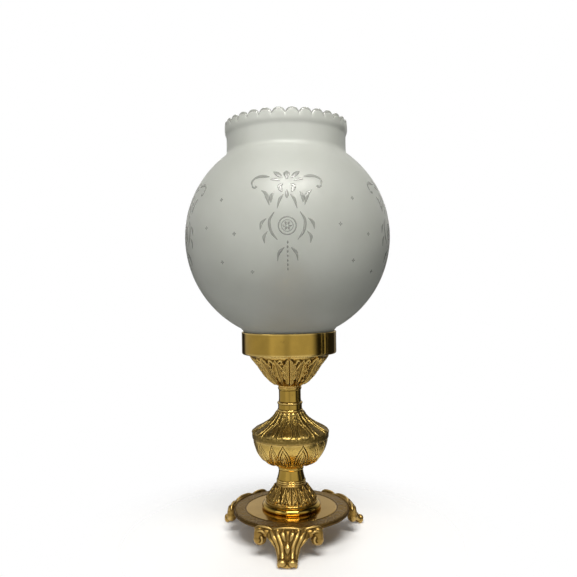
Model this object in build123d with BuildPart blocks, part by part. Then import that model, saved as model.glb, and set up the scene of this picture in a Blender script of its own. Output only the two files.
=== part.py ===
"""Oil lamp: cast brass tripod stand, drop-in font, round-wick burner, glass chimney and frosted ball shade.

Millimetres. +Z is up, the origin is on the lamp's axis at the surface it stands on, and the front foot
points along -Y. The wick knob is at the back, along +Y.
"""

import math
import os

from build123d import *

# ---- base -------------------------------------------------------------------------------------
FOOT_COUNT = 3
LEG_HEIGHT = 26.0  # underside of the base plate above the table
FOOT_OVERHANG = 26.5  # rim of the plate to the tip of a toe
FOOT_SCREW_R = 2.0
FOOT_SCREW_INSET = 6.5  # rim of the plate to the middle of a foot screw
FOOT_LUG = 3.0
VOLUTE_R = 6.5
VOLUTE_OFFSET = 29.5  # sideways from the middle of a leg to the middle of its scroll
PLATE_R = 63.5
PLATE_THICKNESS = 5.0
PLATE_WEB = 3.0
DISC_R = 49.5  # edge of the smooth disc in the middle of the plate
MOULDING_R = 32.5
MOULDING_STEP_R = 29.0
MOULDING_HEIGHT = 8.5

# ---- stem -------------------------------------------------------------------------------------
CONE_R = 27.5
CONE_HEIGHT = 18.5
LOWER_COLLAR_R = 16.0
LOWER_COLLAR_HEIGHT = 18.0
STEM_R = 13.2  # the slim places of the stem
KNOP_R = 41.2
KNOP_LOWER_HEIGHT = 31.5
KNOP_UPPER_HEIGHT = 28.5
NECK_R = 12.1
NECK_HEIGHT = 27.0
CASTING_WALL = 2.2
CASTING_FLOOR = 3.0
ROD_R = 5.0
NUT_WALL = 3.5  # from the rod to a corner
NUT_HEIGHT = 4.0
WASHER_R = 11.0
WASHER_THICKNESS = 1.5

# ---- font, the oil reservoir --------------------------------------------------------------------
CUP_R = 42.4
CUP_HEIGHT = 35.5
FONT_WALL = 0.8
FONT_TOP = 1.0
COLLAR_BORE_R = 13.0
COLLAR_WALL = 2.0
COLLAR_DEPTH = 9.5  # how far the screw collar reaches down into the font

# ---- shade pan and burner -----------------------------------------------------------------------
PAN_HEIGHT = 24.3
PAN_WALL = 1.2
SEAT_HEIGHT = 13.5  # top of the ledge that carries the shade, above the pan's underside
SEAT_THICKNESS = 1.5
WICK_TUBE_R = 8.8
TUBE_WALL = 0.4
WICK_GAP = 2.1  # between the draft tube and the wick tube
WICK_THICKNESS = 1.4
WICK_TUBE_HEIGHT = 118.0  # above the pan's underside
WICK_SHOWN = 1.0  # how far the wick stands out of its tube at rest
WICK_TRAVEL_UP = 8.0
BASKET_R = 29.5
FLANGE = 2.0
BASKET_FOOT_R = 20.0
BASKET_HEIGHT = 81.0
BASKET_WALL = 0.8
BASKET_HOLES = 20  # in each row
# share of the basket's height, and radius of the holes, for each row
BASKET_ROWS = ((0.34, 1.5), (0.44, 1.7), (0.54, 1.7), (0.64, 1.7), (0.74, 1.5))
GALLERY_LIP = 5.5  # how far the gallery stands out beyond the chimney
GALLERY_THICKNESS = 1.2
PRONG_COUNT = 8
PRONG_HEIGHT = 15.0
SHAFT_R = 1.5
SHAFT_OFFSET = 12.7  # sideways from the lamp's axis
WHEEL_SPACING = 7.0
WHEEL_WIDTH = 1.5
WHEEL_TEETH = 12
BRACKET_WALL = 1.2
PORT_HEIGHT = 12.0  # the burner's side air port
PORT_WIDTH = 7.0
KNOB_R = 9.0
KNOB_WIDTH = 3.6
KNOB_GAP = 6.5  # from the pan's wall to the knob
KNOB_FLUTES = 24

# ---- glass ------------------------------------------------------------------------------------
CHIMNEY_R = 19.5
CHIMNEY_WALL = 1.5
CHIMNEY_HEIGHT = 160.0
CHIMNEY_BELLY = 45.0  # height of its wide lower part
BALL_R = 111.3
SHADE_WALL = 2.6
FITTER_R = 48.5
FITTER_HEIGHT = 12.5
MOUTH_R = 65.3
MOUTH_HEIGHT = 36.0
LIP_FLARE = 1.8
CRIMP_COUNT = 30
CRIMP_DEPTH = 5.0

# ---- clearances ---------------------------------------------------------------------------------
ROD_CLEARANCE = 0.3
RUNNING = 0.05  # radial, a shaft in its bearing
SLIP = 0.25  # radial, pieces that are put together by hand
FOOT_GAP = 0.15
THREAD_CLEARANCE = 0.05
FONT_CLEARANCE = 0.6
WHEEL_CLEARANCE = 0.3  # between the raiser wheels and the wick
WHEEL_LIFT = 1.1  # between the raiser wheels and the flange below them
SHADE_GAP = 2.4  # round the shade's fitter, inside the pan

# ---- sizes that follow from the ones above ------------------------------------------------------
TOE_R = PLATE_R + FOOT_OVERHANG
FOOT_SCREW_CIRCLE = PLATE_R - FOOT_SCREW_INSET
ROD_HOLE_R = ROD_R + ROD_CLEARANCE
NUT_R = ROD_R + NUT_WALL
COLLAR_R = COLLAR_BORE_R + COLLAR_WALL
PAN_R = FITTER_R + SHADE_GAP + PAN_WALL
DRAFT_TUBE_R = WICK_TUBE_R - TUBE_WALL - WICK_GAP
WICK_R = WICK_TUBE_R - TUBE_WALL - SLIP
GALLERY_R = CHIMNEY_R + GALLERY_LIP
WHEEL_TIP_X = math.sqrt(WICK_R**2 - (0.5 * (WHEEL_SPACING - WHEEL_WIDTH)) ** 2) + WHEEL_CLEARANCE
WHEEL_R = SHAFT_OFFSET - WHEEL_TIP_X
BRACKET_SPAN = WHEEL_SPACING + 2 * WHEEL_WIDTH + 2.0
SLEEVE_TAIL_INSET = 0.6  # from the wick's outer face to the outer face of a tail

# ---- heights of the stack, from the table up ---------------------------------------------------
Z_PLATE = LEG_HEIGHT
Z_MOULDING = Z_PLATE + PLATE_THICKNESS
Z_CONE = Z_MOULDING + MOULDING_HEIGHT
Z_LOWER_COLLAR = Z_CONE + CONE_HEIGHT
Z_KNOP = Z_LOWER_COLLAR + LOWER_COLLAR_HEIGHT
Z_SEAM = Z_KNOP + KNOP_LOWER_HEIGHT
Z_NECK = Z_SEAM + KNOP_UPPER_HEIGHT
Z_CUP = Z_NECK + NECK_HEIGHT
Z_FONT_TOP = Z_CUP + CUP_HEIGHT
Z_PAN = Z_FONT_TOP + FONT_TOP
Z_FLANGE = Z_PAN + PAN_WALL
Z_SEAT = Z_PAN + SEAT_HEIGHT
Z_BASKET = Z_FLANGE + FLANGE
Z_SHAFT = Z_BASKET + WHEEL_R + WHEEL_LIFT
Z_GALLERY = Z_BASKET + BASKET_HEIGHT
Z_CHIMNEY = Z_GALLERY + GALLERY_THICKNESS
Z_TUBE_TOP = Z_PAN + WICK_TUBE_HEIGHT

os.makedirs("parts", exist_ok=True)


def save(piece, name):
    """Labels a finished piece and writes its STEP file."""
    piece.part.label = name
    export_step(piece.part, f"parts/{name}.step")


def curve(points):
    """A smooth line through (radius, height) points, or a straight one through two."""
    return Line(*points) if len(points) == 2 else Spline(*points)


def turn(outer, inner):
    """Adds the turned solid between an outer and an inner line, each listed from the bottom up."""
    with BuildSketch(Plane.XZ) as section:
        with BuildLine():
            outside = curve(outer)
            inside = curve(inner)
            Line(inside @ 0, outside @ 0)
            Line(inside @ 1, outside @ 1)
        make_face()
    revolve(section.sketch, axis=Axis.Z)


def disc(radius, z, height, hole=0.0, mode=Mode.ADD):
    """Adds or cuts a flat round disc, or a ring if it has a hole."""
    with BuildSketch(Plane.XY.offset(z)) as face:
        Circle(radius)
        if hole:
            Circle(hole, mode=Mode.SUBTRACT)
    extrude(face.sketch, amount=height, mode=mode)


def inward(points, wall):
    """The same line moved towards the axis by a wall thickness."""
    return [(radius - wall, height) for radius, height in points]


def round_about(count):
    """Locations turned in equal steps about the lamp's axis, the first one unturned."""
    return [Location((0, 0, 0), (0, 0, 360 / count * step)) for step in range(count)]


# ==== base =======================================================================================
with BuildPart() as base_plate:
    disc(PLATE_R, Z_PLATE, PLATE_THICKNESS, hole=ROD_HOLE_R)
    rim = base_plate.edges().filter_by(GeomType.CIRCLE).filter_by(lambda e: abs(e.radius - PLATE_R) < 0.01)
    fillet(rim, radius=0.44 * PLATE_THICKNESS)
    # hollow underneath, between the hub and the rim that the feet are screwed to
    recess_out = FOOT_SCREW_CIRCLE - 3 * FOOT_SCREW_R
    disc(recess_out, Z_PLATE, PLATE_THICKNESS - PLATE_WEB, hole=WASHER_R + 2, mode=Mode.SUBTRACT)
    # narrow groove round the smooth disc
    disc(DISC_R + 0.5, Z_MOULDING - 0.5, 0.5, hole=DISC_R - 0.5, mode=Mode.SUBTRACT)
    with BuildSketch(Plane.XY.offset(Z_PLATE)):
        with PolarLocations(FOOT_SCREW_CIRCLE, FOOT_COUNT, start_angle=-90):
            Circle(FOOT_SCREW_R)
    extrude(amount=PLATE_THICKNESS - 1.2, mode=Mode.SUBTRACT)
save(base_plate, "base_plate")

# A foot is drawn twice, from its side and from its front, and is what the two outlines share.
ankle_r = TOE_R - 12
scroll_top = LEG_HEIGHT + 0.8 * PLATE_THICKNESS


def foot_side():
    """Side outline: distance from the axis against height."""
    with BuildSketch(Plane.YZ) as side:
        with BuildLine():
            front = Spline(
                (-PLATE_R - 4.0, scroll_top),
                (-ankle_r + 5.5, 0.72 * LEG_HEIGHT),
                (-ankle_r - 0.5, 0.42 * LEG_HEIGHT),
                (-TOE_R + 4.0, 6.8),
            )
            toe = ThreePointArc((-TOE_R + 4.0, 6.8), (-TOE_R, 3.0), (-TOE_R + 3.0, 0))
            Line(toe @ 1, (-ankle_r + 3.0, 0))
            back = Spline(
                (-ankle_r + 3.0, 0),
                (-ankle_r + 7.0, 0.45 * LEG_HEIGHT),
                (-PLATE_R + 1.5, LEG_HEIGHT - FOOT_LUG),
            )
            lug_in = -FOOT_SCREW_CIRCLE + 3 * FOOT_SCREW_R
            Polyline(back @ 1, (lug_in, LEG_HEIGHT - FOOT_LUG), (lug_in, scroll_top), front @ 0)
        make_face()
    return side.sketch


def foot_front():
    """Front outline: the leg, which spreads upwards, and a scroll at each side."""
    scroll_z = scroll_top - 1.2 * VOLUTE_R
    with BuildSketch(Plane.XZ) as front:
        with BuildLine():
            right = Spline(
                (10.0, 0),
                (11.2, 0.22 * LEG_HEIGHT),
                (14.5, 0.55 * LEG_HEIGHT),
                (VOLUTE_OFFSET - 3, scroll_z),
            )
            left = mirror(right, about=Plane.YZ)
            Line(right @ 0, left @ 0)
            Polyline(
                right @ 1,
                (VOLUTE_OFFSET + 0.8 * VOLUTE_R, scroll_top),
                (-VOLUTE_OFFSET - 0.8 * VOLUTE_R, scroll_top),
                left @ 1,
            )
        make_face()
        with Locations((VOLUTE_OFFSET, scroll_z), (-VOLUTE_OFFSET, scroll_z)):
            Circle(VOLUTE_R)
    return front.sketch


def foot(turned_by):
    """One cast foot, screwed under the plate and wrapped round its rim."""
    side, front = foot_side(), foot_front()
    with BuildPart() as piece:
        extrude(side, amount=VOLUTE_OFFSET + VOLUTE_R + 1, both=True)
        extrude(front, amount=TOE_R + 1, mode=Mode.INTERSECT)
        # room for the plate, and a hole for the screw
        disc(PLATE_R + FOOT_GAP, Z_PLATE, PLATE_THICKNESS + 1, mode=Mode.SUBTRACT)
        with BuildSketch(Plane.XY.offset(Z_PLATE - FOOT_LUG)):
            with Locations((0, -FOOT_SCREW_CIRCLE)):
                Circle(FOOT_SCREW_R + SLIP)
        extrude(amount=FOOT_LUG, mode=Mode.SUBTRACT)
    piece.part = piece.part.rotate(Axis.Z, turned_by)
    return piece


for foot_name, turned_by in (("foot_front", 0), ("foot_right", 120), ("foot_left", 240)):
    save(foot(turned_by), foot_name)

with BuildPart() as foot_screws:
    with BuildSketch(Plane.XY.offset(Z_PLATE - FOOT_LUG)):
        with PolarLocations(FOOT_SCREW_CIRCLE, FOOT_COUNT, start_angle=-90):
            Circle(FOOT_SCREW_R - THREAD_CLEARANCE)
    extrude(amount=FOOT_LUG + PLATE_THICKNESS - 1.7)
    with BuildSketch(Plane.XY.offset(Z_PLATE - FOOT_LUG)):
        with PolarLocations(FOOT_SCREW_CIRCLE, FOOT_COUNT, start_angle=-90):
            Circle(1.8 * FOOT_SCREW_R)
    extrude(amount=-1.2 * FOOT_SCREW_R)
    with BuildSketch(Plane.XY.offset(Z_PLATE - FOOT_LUG - 1.2 * FOOT_SCREW_R)):
        with PolarLocations(FOOT_SCREW_CIRCLE, FOOT_COUNT, start_angle=-90):
            Rectangle(0.5 * FOOT_SCREW_R, 4 * FOOT_SCREW_R)
    extrude(amount=0.5 * FOOT_SCREW_R, mode=Mode.SUBTRACT)
save(foot_screws, "foot_screws")

with BuildPart() as moulding_ring:
    torus_height = 0.6 * MOULDING_HEIGHT
    with BuildSketch(Plane.XZ):
        with BuildLine():
            bead = ThreePointArc(
                (MOULDING_R - 0.5 * torus_height, Z_MOULDING),
                (MOULDING_R, Z_MOULDING + 0.5 * torus_height),
                (MOULDING_R - 0.5 * torus_height, Z_MOULDING + torus_height),
            )
            Polyline(
                bead @ 1,
                (MOULDING_STEP_R, Z_MOULDING + torus_height),
                (MOULDING_STEP_R, Z_CONE),
                (ROD_HOLE_R, Z_CONE),
                (ROD_HOLE_R, Z_CONE - CASTING_FLOOR),
                (MOULDING_STEP_R - CASTING_WALL - 1, Z_CONE - CASTING_FLOOR),
                (MOULDING_STEP_R - CASTING_WALL - 1, Z_MOULDING),
                bead @ 0,
            )
        make_face()
    revolve(axis=Axis.Z)
save(moulding_ring, "moulding_ring")

# ==== stem =======================================================================================
with BuildPart() as base_cone:
    cone_line = [
        (CONE_R, Z_CONE),
        (CONE_R, Z_CONE + 0.22 * CONE_HEIGHT),
        (0.5 * (CONE_R + LOWER_COLLAR_R) + 1.5, Z_CONE + 0.45 * CONE_HEIGHT),
        (LOWER_COLLAR_R + 1.8, Z_CONE + 0.75 * CONE_HEIGHT),
        (LOWER_COLLAR_R + 0.8, Z_LOWER_COLLAR),
    ]
    turn(cone_line, inward(cone_line, CASTING_WALL))
    disc(LOWER_COLLAR_R, Z_LOWER_COLLAR - CASTING_FLOOR, CASTING_FLOOR)
    disc(ROD_HOLE_R, Z_CONE, CONE_HEIGHT, mode=Mode.SUBTRACT)
save(base_cone, "base_cone")

with BuildPart() as lower_collar:
    collar_line = [
        (LOWER_COLLAR_R, Z_LOWER_COLLAR + 0.24 * LOWER_COLLAR_HEIGHT),
        (0.5 * (LOWER_COLLAR_R + STEM_R), Z_LOWER_COLLAR + 0.5 * LOWER_COLLAR_HEIGHT),
        (STEM_R, Z_KNOP - 0.14 * LOWER_COLLAR_HEIGHT),
    ]
    bore_line = [(ROD_HOLE_R, height) for radius, height in collar_line[::2]]
    turn(collar_line, bore_line)
    ring = 0.10 * LOWER_COLLAR_HEIGHT
    groove = 0.04 * LOWER_COLLAR_HEIGHT
    band = 0.14 * LOWER_COLLAR_HEIGHT
    disc(LOWER_COLLAR_R, Z_LOWER_COLLAR, ring, hole=ROD_HOLE_R)
    disc(LOWER_COLLAR_R - 0.6, Z_LOWER_COLLAR + ring, groove, hole=ROD_HOLE_R)
    disc(LOWER_COLLAR_R, Z_LOWER_COLLAR + ring + groove, ring, hole=ROD_HOLE_R)
    disc(STEM_R + 0.5, Z_KNOP - band, band, hole=ROD_HOLE_R)
save(lower_collar, "lower_collar")

with BuildPart() as knop_lower:
    bowl_line = [
        (STEM_R + 0.6, Z_KNOP + 0.07 * KNOP_LOWER_HEIGHT),
        (0.70 * KNOP_R, Z_KNOP + 0.24 * KNOP_LOWER_HEIGHT),
        (0.87 * KNOP_R, Z_KNOP + 0.50 * KNOP_LOWER_HEIGHT),
        (0.97 * KNOP_R, Z_KNOP + 0.80 * KNOP_LOWER_HEIGHT),
        (KNOP_R, Z_SEAM),
    ]
    turn(bowl_line, [(ROD_HOLE_R, height) for radius, height in bowl_line[::4]])
    disc(STEM_R, Z_KNOP, 0.07 * KNOP_LOWER_HEIGHT, hole=ROD_HOLE_R)
    bowl_floor = Z_KNOP + 0.24 * KNOP_LOWER_HEIGHT + CASTING_FLOOR
    with BuildSketch(Plane.XZ):
        with BuildLine():
            hollow = Spline(
                (0.70 * KNOP_R - CASTING_WALL, bowl_floor),
                (0.87 * KNOP_R - CASTING_WALL, Z_KNOP + 0.55 * KNOP_LOWER_HEIGHT),
                (KNOP_R - CASTING_WALL, Z_SEAM),
            )
            Polyline(hollow @ 1, (0, Z_SEAM), (0, bowl_floor), hollow @ 0)
        make_face()
    revolve(axis=Axis.Z, mode=Mode.SUBTRACT)
save(knop_lower, "knop_lower")

with BuildPart() as knop_upper:
    dome_line = [
        (KNOP_R + 0.6, Z_SEAM + 0.16 * KNOP_UPPER_HEIGHT),
        (0.94 * KNOP_R, Z_SEAM + 0.33 * KNOP_UPPER_HEIGHT),
        (0.68 * KNOP_R, Z_SEAM + 0.58 * KNOP_UPPER_HEIGHT),
        (0.46 * KNOP_R, Z_SEAM + 0.82 * KNOP_UPPER_HEIGHT),
        (STEM_R + 1.6, Z_NECK),
    ]
    rim_line = [(KNOP_R + 0.2, Z_SEAM), dome_line[0]]
    turn(dome_line, [(ROD_HOLE_R, height) for radius, height in dome_line[::4]])
    turn(rim_line, [(ROD_HOLE_R, height) for radius, height in rim_line])
    dome_top = Z_NECK - CASTING_FLOOR
    with BuildSketch(Plane.XZ):
        with BuildLine():
            vault = Spline(
                (KNOP_R - CASTING_WALL, Z_SEAM),
                (0.90 * KNOP_R - CASTING_WALL, Z_SEAM + 0.27 * KNOP_UPPER_HEIGHT),
                (0.62 * KNOP_R - CASTING_WALL, Z_SEAM + 0.52 * KNOP_UPPER_HEIGHT),
                (STEM_R - CASTING_WALL, dome_top),
            )
            Polyline(vault @ 1, (0, dome_top), (0, Z_SEAM), vault @ 0)
        make_face()
    revolve(axis=Axis.Z, mode=Mode.SUBTRACT)
save(knop_upper, "knop_upper")

with BuildPart() as neck_collar:
    disc(STEM_R + 1.0, Z_NECK, 0.09 * NECK_HEIGHT, hole=ROD_HOLE_R)
    disc(STEM_R, Z_NECK + 0.09 * NECK_HEIGHT, 0.24 * NECK_HEIGHT, hole=ROD_HOLE_R)
    disc(STEM_R + 0.5, Z_NECK + 0.33 * NECK_HEIGHT, 0.07 * NECK_HEIGHT, hole=ROD_HOLE_R)
    disc(NECK_R, Z_NECK + 0.40 * NECK_HEIGHT, 0.50 * NECK_HEIGHT, hole=ROD_HOLE_R)
    disc(NECK_R + 0.7, Z_NECK + 0.90 * NECK_HEIGHT, 0.10 * NECK_HEIGHT, hole=ROD_HOLE_R)
save(neck_collar, "neck_collar")

# ==== font ========================================================================================
cup_line = [
    (NECK_R + 0.6, Z_CUP),
    (0.48 * CUP_R, Z_CUP + 0.20 * CUP_HEIGHT),
    (0.66 * CUP_R, Z_CUP + 0.44 * CUP_HEIGHT),
    (0.79 * CUP_R, Z_CUP + 0.69 * CUP_HEIGHT),
    (CUP_R, Z_FONT_TOP),
]
cup_floor = Z_CUP + CASTING_FLOOR
font_floor = cup_floor + NUT_HEIGHT + 2.0
font_taper = (CUP_R - 0.48 * CUP_R) / (0.80 * CUP_HEIGHT)


def inside_cup(gap, floor):
    """Straight-sided line inside the cup, that far in from its outer face."""
    foot_r = 0.48 * CUP_R + font_taper * (floor - Z_CUP - 0.20 * CUP_HEIGHT)
    return [(foot_r - gap, floor), (CUP_R - gap, Z_FONT_TOP)]


with BuildPart() as font_cup:
    turn(cup_line, [(ROD_HOLE_R, height) for radius, height in cup_line[::4]])
    cup_gap = 1.6 * CASTING_WALL
    hollow_line = inside_cup(cup_gap, font_floor - FONT_CLEARANCE)
    with BuildSketch(Plane.XZ):
        Polygon(hollow_line[0], hollow_line[1], (0, Z_FONT_TOP), (0, hollow_line[0][1]), align=None)
    revolve(axis=Axis.Z, mode=Mode.SUBTRACT)
    disc(NUT_R + 1.5, cup_floor, font_floor - cup_floor, mode=Mode.SUBTRACT)
save(font_cup, "font_cup")

with BuildPart() as font_bowl:
    bowl_gap = cup_gap + FONT_CLEARANCE
    shell_line = inside_cup(bowl_gap, font_floor)
    with BuildSketch(Plane.XZ):
        Polygon(shell_line[0], shell_line[1], (0, Z_FONT_TOP), (0, font_floor), align=None)
    revolve(axis=Axis.Z)
    oil_line = inside_cup(bowl_gap + 1.4 * FONT_WALL, font_floor + FONT_WALL)
    with BuildSketch(Plane.XZ):
        Polygon(oil_line[0], oil_line[1], (0, Z_FONT_TOP), (0, oil_line[0][1]), align=None)
    revolve(axis=Axis.Z, mode=Mode.SUBTRACT)
save(font_bowl, "font_bowl")

with BuildPart() as font_top:
    disc(CUP_R, Z_FONT_TOP, FONT_TOP, hole=COLLAR_R)
save(font_top, "font_top")

with BuildPart() as font_collar:
    disc(COLLAR_R, Z_PAN - COLLAR_DEPTH, COLLAR_DEPTH + 0.8 * PAN_WALL, hole=COLLAR_BORE_R)
save(font_collar, "font_collar")

# ==== threaded rod through the stem ==================================================================
with BuildPart() as center_rod:
    rod_bottom = Z_PLATE - WASHER_THICKNESS - NUT_HEIGHT - 1.5
    disc(ROD_R, rod_bottom, cup_floor + NUT_HEIGHT + 1.0 - rod_bottom)
save(center_rod, "center_rod")


def hex_nut(z):
    """Adds a hexagon nut round the rod."""
    with BuildSketch(Plane.XY.offset(z)) as face:
        RegularPolygon(NUT_R, 6)
        Circle(ROD_R, mode=Mode.SUBTRACT)
    extrude(face.sketch, amount=NUT_HEIGHT)


with BuildPart() as rod_nut_lower:
    hex_nut(Z_PLATE - WASHER_THICKNESS - NUT_HEIGHT)
save(rod_nut_lower, "rod_nut_lower")

with BuildPart() as rod_nut_upper:
    hex_nut(cup_floor)
save(rod_nut_upper, "rod_nut_upper")

with BuildPart() as rod_washer:
    disc(WASHER_R, Z_PLATE - WASHER_THICKNESS, WASHER_THICKNESS, hole=ROD_HOLE_R)
save(rod_washer, "rod_washer")

# ==== shade pan ====================================================================================
with BuildPart() as shade_pan:
    disc(PAN_R, Z_PAN, PAN_WALL, hole=COLLAR_R + SLIP)
    disc(PAN_R, Z_PAN, PAN_HEIGHT, hole=PAN_R - PAN_WALL)
    # a hole in the wall at the back lets the wick shaft out
    with Locations((SHAFT_OFFSET, 0, Z_SHAFT)):
        Cylinder(
            SHAFT_R + 1.0,
            PAN_R,
            rotation=(-90, 0, 0),
            align=(Align.CENTER, Align.CENTER, Align.MIN),
            mode=Mode.SUBTRACT,
        )
save(shade_pan, "shade_pan")

with BuildPart() as shade_seat:
    seat_out = PAN_R - PAN_WALL
    disc(seat_out, Z_SEAT - SEAT_THICKNESS, SEAT_THICKNESS, hole=FITTER_R - SHADE_WALL - 1.0)
save(shade_seat, "shade_seat")

# ==== burner =======================================================================================
with BuildPart() as burner_base:
    spigot_r = COLLAR_BORE_R - SLIP
    disc(BASKET_FOOT_R + 1.0, Z_FLANGE, FLANGE, hole=WICK_TUBE_R)
    spigot_bottom = Z_PAN - COLLAR_DEPTH + 1.5
    disc(spigot_r, spigot_bottom, Z_FLANGE - spigot_bottom, hole=spigot_r - COLLAR_WALL)
save(burner_base, "burner_base")

tube_bottom = Z_PAN - 3.0
port_bottom = Z_SHAFT + WHEEL_R + 3.0


def cut_air_port():
    """Cuts the side opening that feeds air to the middle of the flame."""
    with Locations((-WICK_TUBE_R, 0, port_bottom)):
        Box(
            1.4 * WICK_TUBE_R,
            PORT_WIDTH,
            PORT_HEIGHT,
            align=(Align.CENTER, Align.CENTER, Align.MIN),
            mode=Mode.SUBTRACT,
        )


with BuildPart() as wick_tube:
    disc(WICK_TUBE_R, tube_bottom, Z_TUBE_TOP - tube_bottom, hole=WICK_TUBE_R - TUBE_WALL)
    cut_air_port()
    # windows that let the raiser wheels reach the wick
    with Locations(
        (WICK_TUBE_R, 0.5 * WHEEL_SPACING, Z_SHAFT),
        (WICK_TUBE_R, -0.5 * WHEEL_SPACING, Z_SHAFT),
    ):
        Box(0.6 * WICK_TUBE_R, WHEEL_WIDTH + 1.0, 2 * WHEEL_R, mode=Mode.SUBTRACT)
save(wick_tube, "wick_tube")

with BuildPart() as draft_tube:
    disc(DRAFT_TUBE_R, Z_FLANGE, Z_TUBE_TOP - Z_FLANGE, hole=DRAFT_TUBE_R - 1.5 * TUBE_WALL)
    disc(DRAFT_TUBE_R, Z_FLANGE, 2 * TUBE_WALL)
    cut_air_port()
save(draft_tube, "draft_tube")

with BuildPart() as wick:
    sleeve_bottom = tube_bottom - WICK_TRAVEL_UP - 2.0
    disc(WICK_R, sleeve_bottom, Z_TUBE_TOP + WICK_SHOWN - sleeve_bottom, hole=WICK_R - WICK_THICKNESS)
    # its two edges part round the air port, with room for its travel
    with Locations((-WICK_R, 0, sleeve_bottom)):
        Box(
            WICK_R,
            PORT_WIDTH + 1.0,
            port_bottom + PORT_HEIGHT + WICK_TRAVEL_UP - sleeve_bottom,
            align=(Align.CENTER, Align.CENTER, Align.MIN),
            mode=Mode.SUBTRACT,
        )
    # two tails hang in the oil
    tail_bottom = font_floor + FONT_WALL + 7.0
    with Locations((WICK_R - 0.5 * WICK_THICKNESS - SLEEVE_TAIL_INSET, 0, tail_bottom)):
        Box(WICK_THICKNESS, 8, sleeve_bottom - tail_bottom, align=(Align.CENTER, Align.CENTER, Align.MIN))
    with Locations((0, WICK_R - 0.5 * WICK_THICKNESS - SLEEVE_TAIL_INSET, tail_bottom)):
        Box(8, WICK_THICKNESS, sleeve_bottom - tail_bottom, align=(Align.CENTER, Align.CENTER, Align.MIN))
save(wick, "wick")

with BuildPart() as shaft_bracket:
    bracket_x = (WHEEL_TIP_X + 2.2, SHAFT_OFFSET + 3.2)
    bracket_mid = 0.5 * sum(bracket_x)
    ear_top = Z_SHAFT + SHAFT_R + 1.6
    for side in (1, -1):
        with Locations((bracket_mid, side * 0.5 * (BRACKET_SPAN + BRACKET_WALL), Z_BASKET)):
            Box(
                bracket_x[1] - bracket_x[0],
                BRACKET_WALL,
                ear_top - Z_BASKET,
                align=(Align.CENTER, Align.CENTER, Align.MIN),
            )
    with Locations((SHAFT_OFFSET, 0, Z_SHAFT)):
        Cylinder(SHAFT_R + RUNNING, BRACKET_SPAN + 4 * BRACKET_WALL, rotation=(90, 0, 0), mode=Mode.SUBTRACT)
save(shaft_bracket, "shaft_bracket")

with BuildPart() as burner_basket:
    band_low = Z_BASKET + 0.28 * BASKET_HEIGHT
    band_high = Z_BASKET + 0.80 * BASKET_HEIGHT
    band_line = [(BASKET_R, band_low), (BASKET_R, band_high)]
    turn(band_line, inward(band_line, BASKET_WALL))
    for row, (share, hole_r) in enumerate(BASKET_ROWS):
        step = 360 / BASKET_HOLES
        row_z = Z_BASKET + share * BASKET_HEIGHT
        turns = [step * (n + 0.25 + 0.5 * (row % 2)) for n in range(BASKET_HOLES)]
        with Locations(*[Location((0, 0, row_z), (0, 0, turn_deg)) for turn_deg in turns]):
            with Locations((0.5 * BASKET_R, 0, 0)):
                Cylinder(
                    hole_r,
                    0.5 * BASKET_R + 2,
                    rotation=(0, 90, 0),
                    align=(Align.CENTER, Align.CENTER, Align.MIN),
                    mode=Mode.SUBTRACT,
                )
    # below the perforated band it draws in to its foot, and above it to the gallery
    skirt_mid = (0.5 * (BASKET_FOOT_R + BASKET_R) + 2.0, 0.5 * (Z_BASKET + band_low))
    skirt_line = [(BASKET_FOOT_R, Z_BASKET), skirt_mid, (BASKET_R, band_low)]
    shoulder_mid = (0.5 * (BASKET_R + GALLERY_R) + 0.6, 0.5 * (band_high + Z_GALLERY))
    shoulder_line = [(BASKET_R, band_high), shoulder_mid, (GALLERY_R - 1.0, Z_GALLERY)]
    for line in (skirt_line, shoulder_line):
        turn(line, inward(line, BASKET_WALL))
    # the edges turned inwards at its top and foot
    disc(GALLERY_R - 1.5, Z_GALLERY - BASKET_WALL, BASKET_WALL, hole=GALLERY_R - 4.5)
    disc(BASKET_FOOT_R, Z_BASKET, BASKET_WALL, hole=BASKET_FOOT_R - 2.0)
    # the wick shaft passes the wall at the back
    with Locations((SHAFT_OFFSET, 0, Z_SHAFT)):
        Cylinder(
            SHAFT_R + 0.6,
            BASKET_R + 2,
            rotation=(-90, 0, 0),
            align=(Align.CENTER, Align.CENTER, Align.MIN),
            mode=Mode.SUBTRACT,
        )
save(burner_basket, "burner_basket")

with BuildPart() as burner_gallery:
    prong_in = CHIMNEY_R + SLIP
    prong_out = prong_in + 0.8
    disc(GALLERY_R, Z_GALLERY, GALLERY_THICKNESS, hole=WICK_TUBE_R + 3.0)
    with BuildSketch(Plane.XY.offset(Z_GALLERY)):
        with PolarLocations(0.5 * (WICK_TUBE_R + 3.0 + CHIMNEY_R - CHIMNEY_WALL), 12):
            Circle(1.3)
    extrude(amount=GALLERY_THICKNESS, mode=Mode.SUBTRACT)
    disc(prong_out, Z_CHIMNEY, PRONG_HEIGHT, hole=prong_in)
    with Locations(*round_about(PRONG_COUNT)):
        with Locations((0, 0, Z_CHIMNEY + 0.25 * PRONG_HEIGHT)):
            Box(
                prong_out + 1,
                3.2,
                PRONG_HEIGHT,
                align=(Align.MIN, Align.CENTER, Align.MIN),
                mode=Mode.SUBTRACT,
            )
save(burner_gallery, "burner_gallery")

# ==== wick raiser ====================================================================================
knob_y = PAN_R + KNOB_GAP
with BuildPart() as wick_shaft:
    shaft_start = -0.5 * BRACKET_SPAN - BRACKET_WALL - 1.0
    with Locations((SHAFT_OFFSET, shaft_start, Z_SHAFT)):
        Cylinder(
            SHAFT_R,
            knob_y + KNOB_WIDTH - shaft_start,
            rotation=(-90, 0, 0),
            align=(Align.CENTER, Align.CENTER, Align.MIN),
        )
save(wick_shaft, "wick_shaft")


def star_points(count, tip_r, root_r):
    """Corners of a toothed wheel with sharp teeth."""
    step = math.pi / count
    radii = [tip_r if n % 2 == 0 else root_r for n in range(2 * count)]
    return [(r * math.cos(n * step), r * math.sin(n * step)) for n, r in enumerate(radii)]


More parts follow.
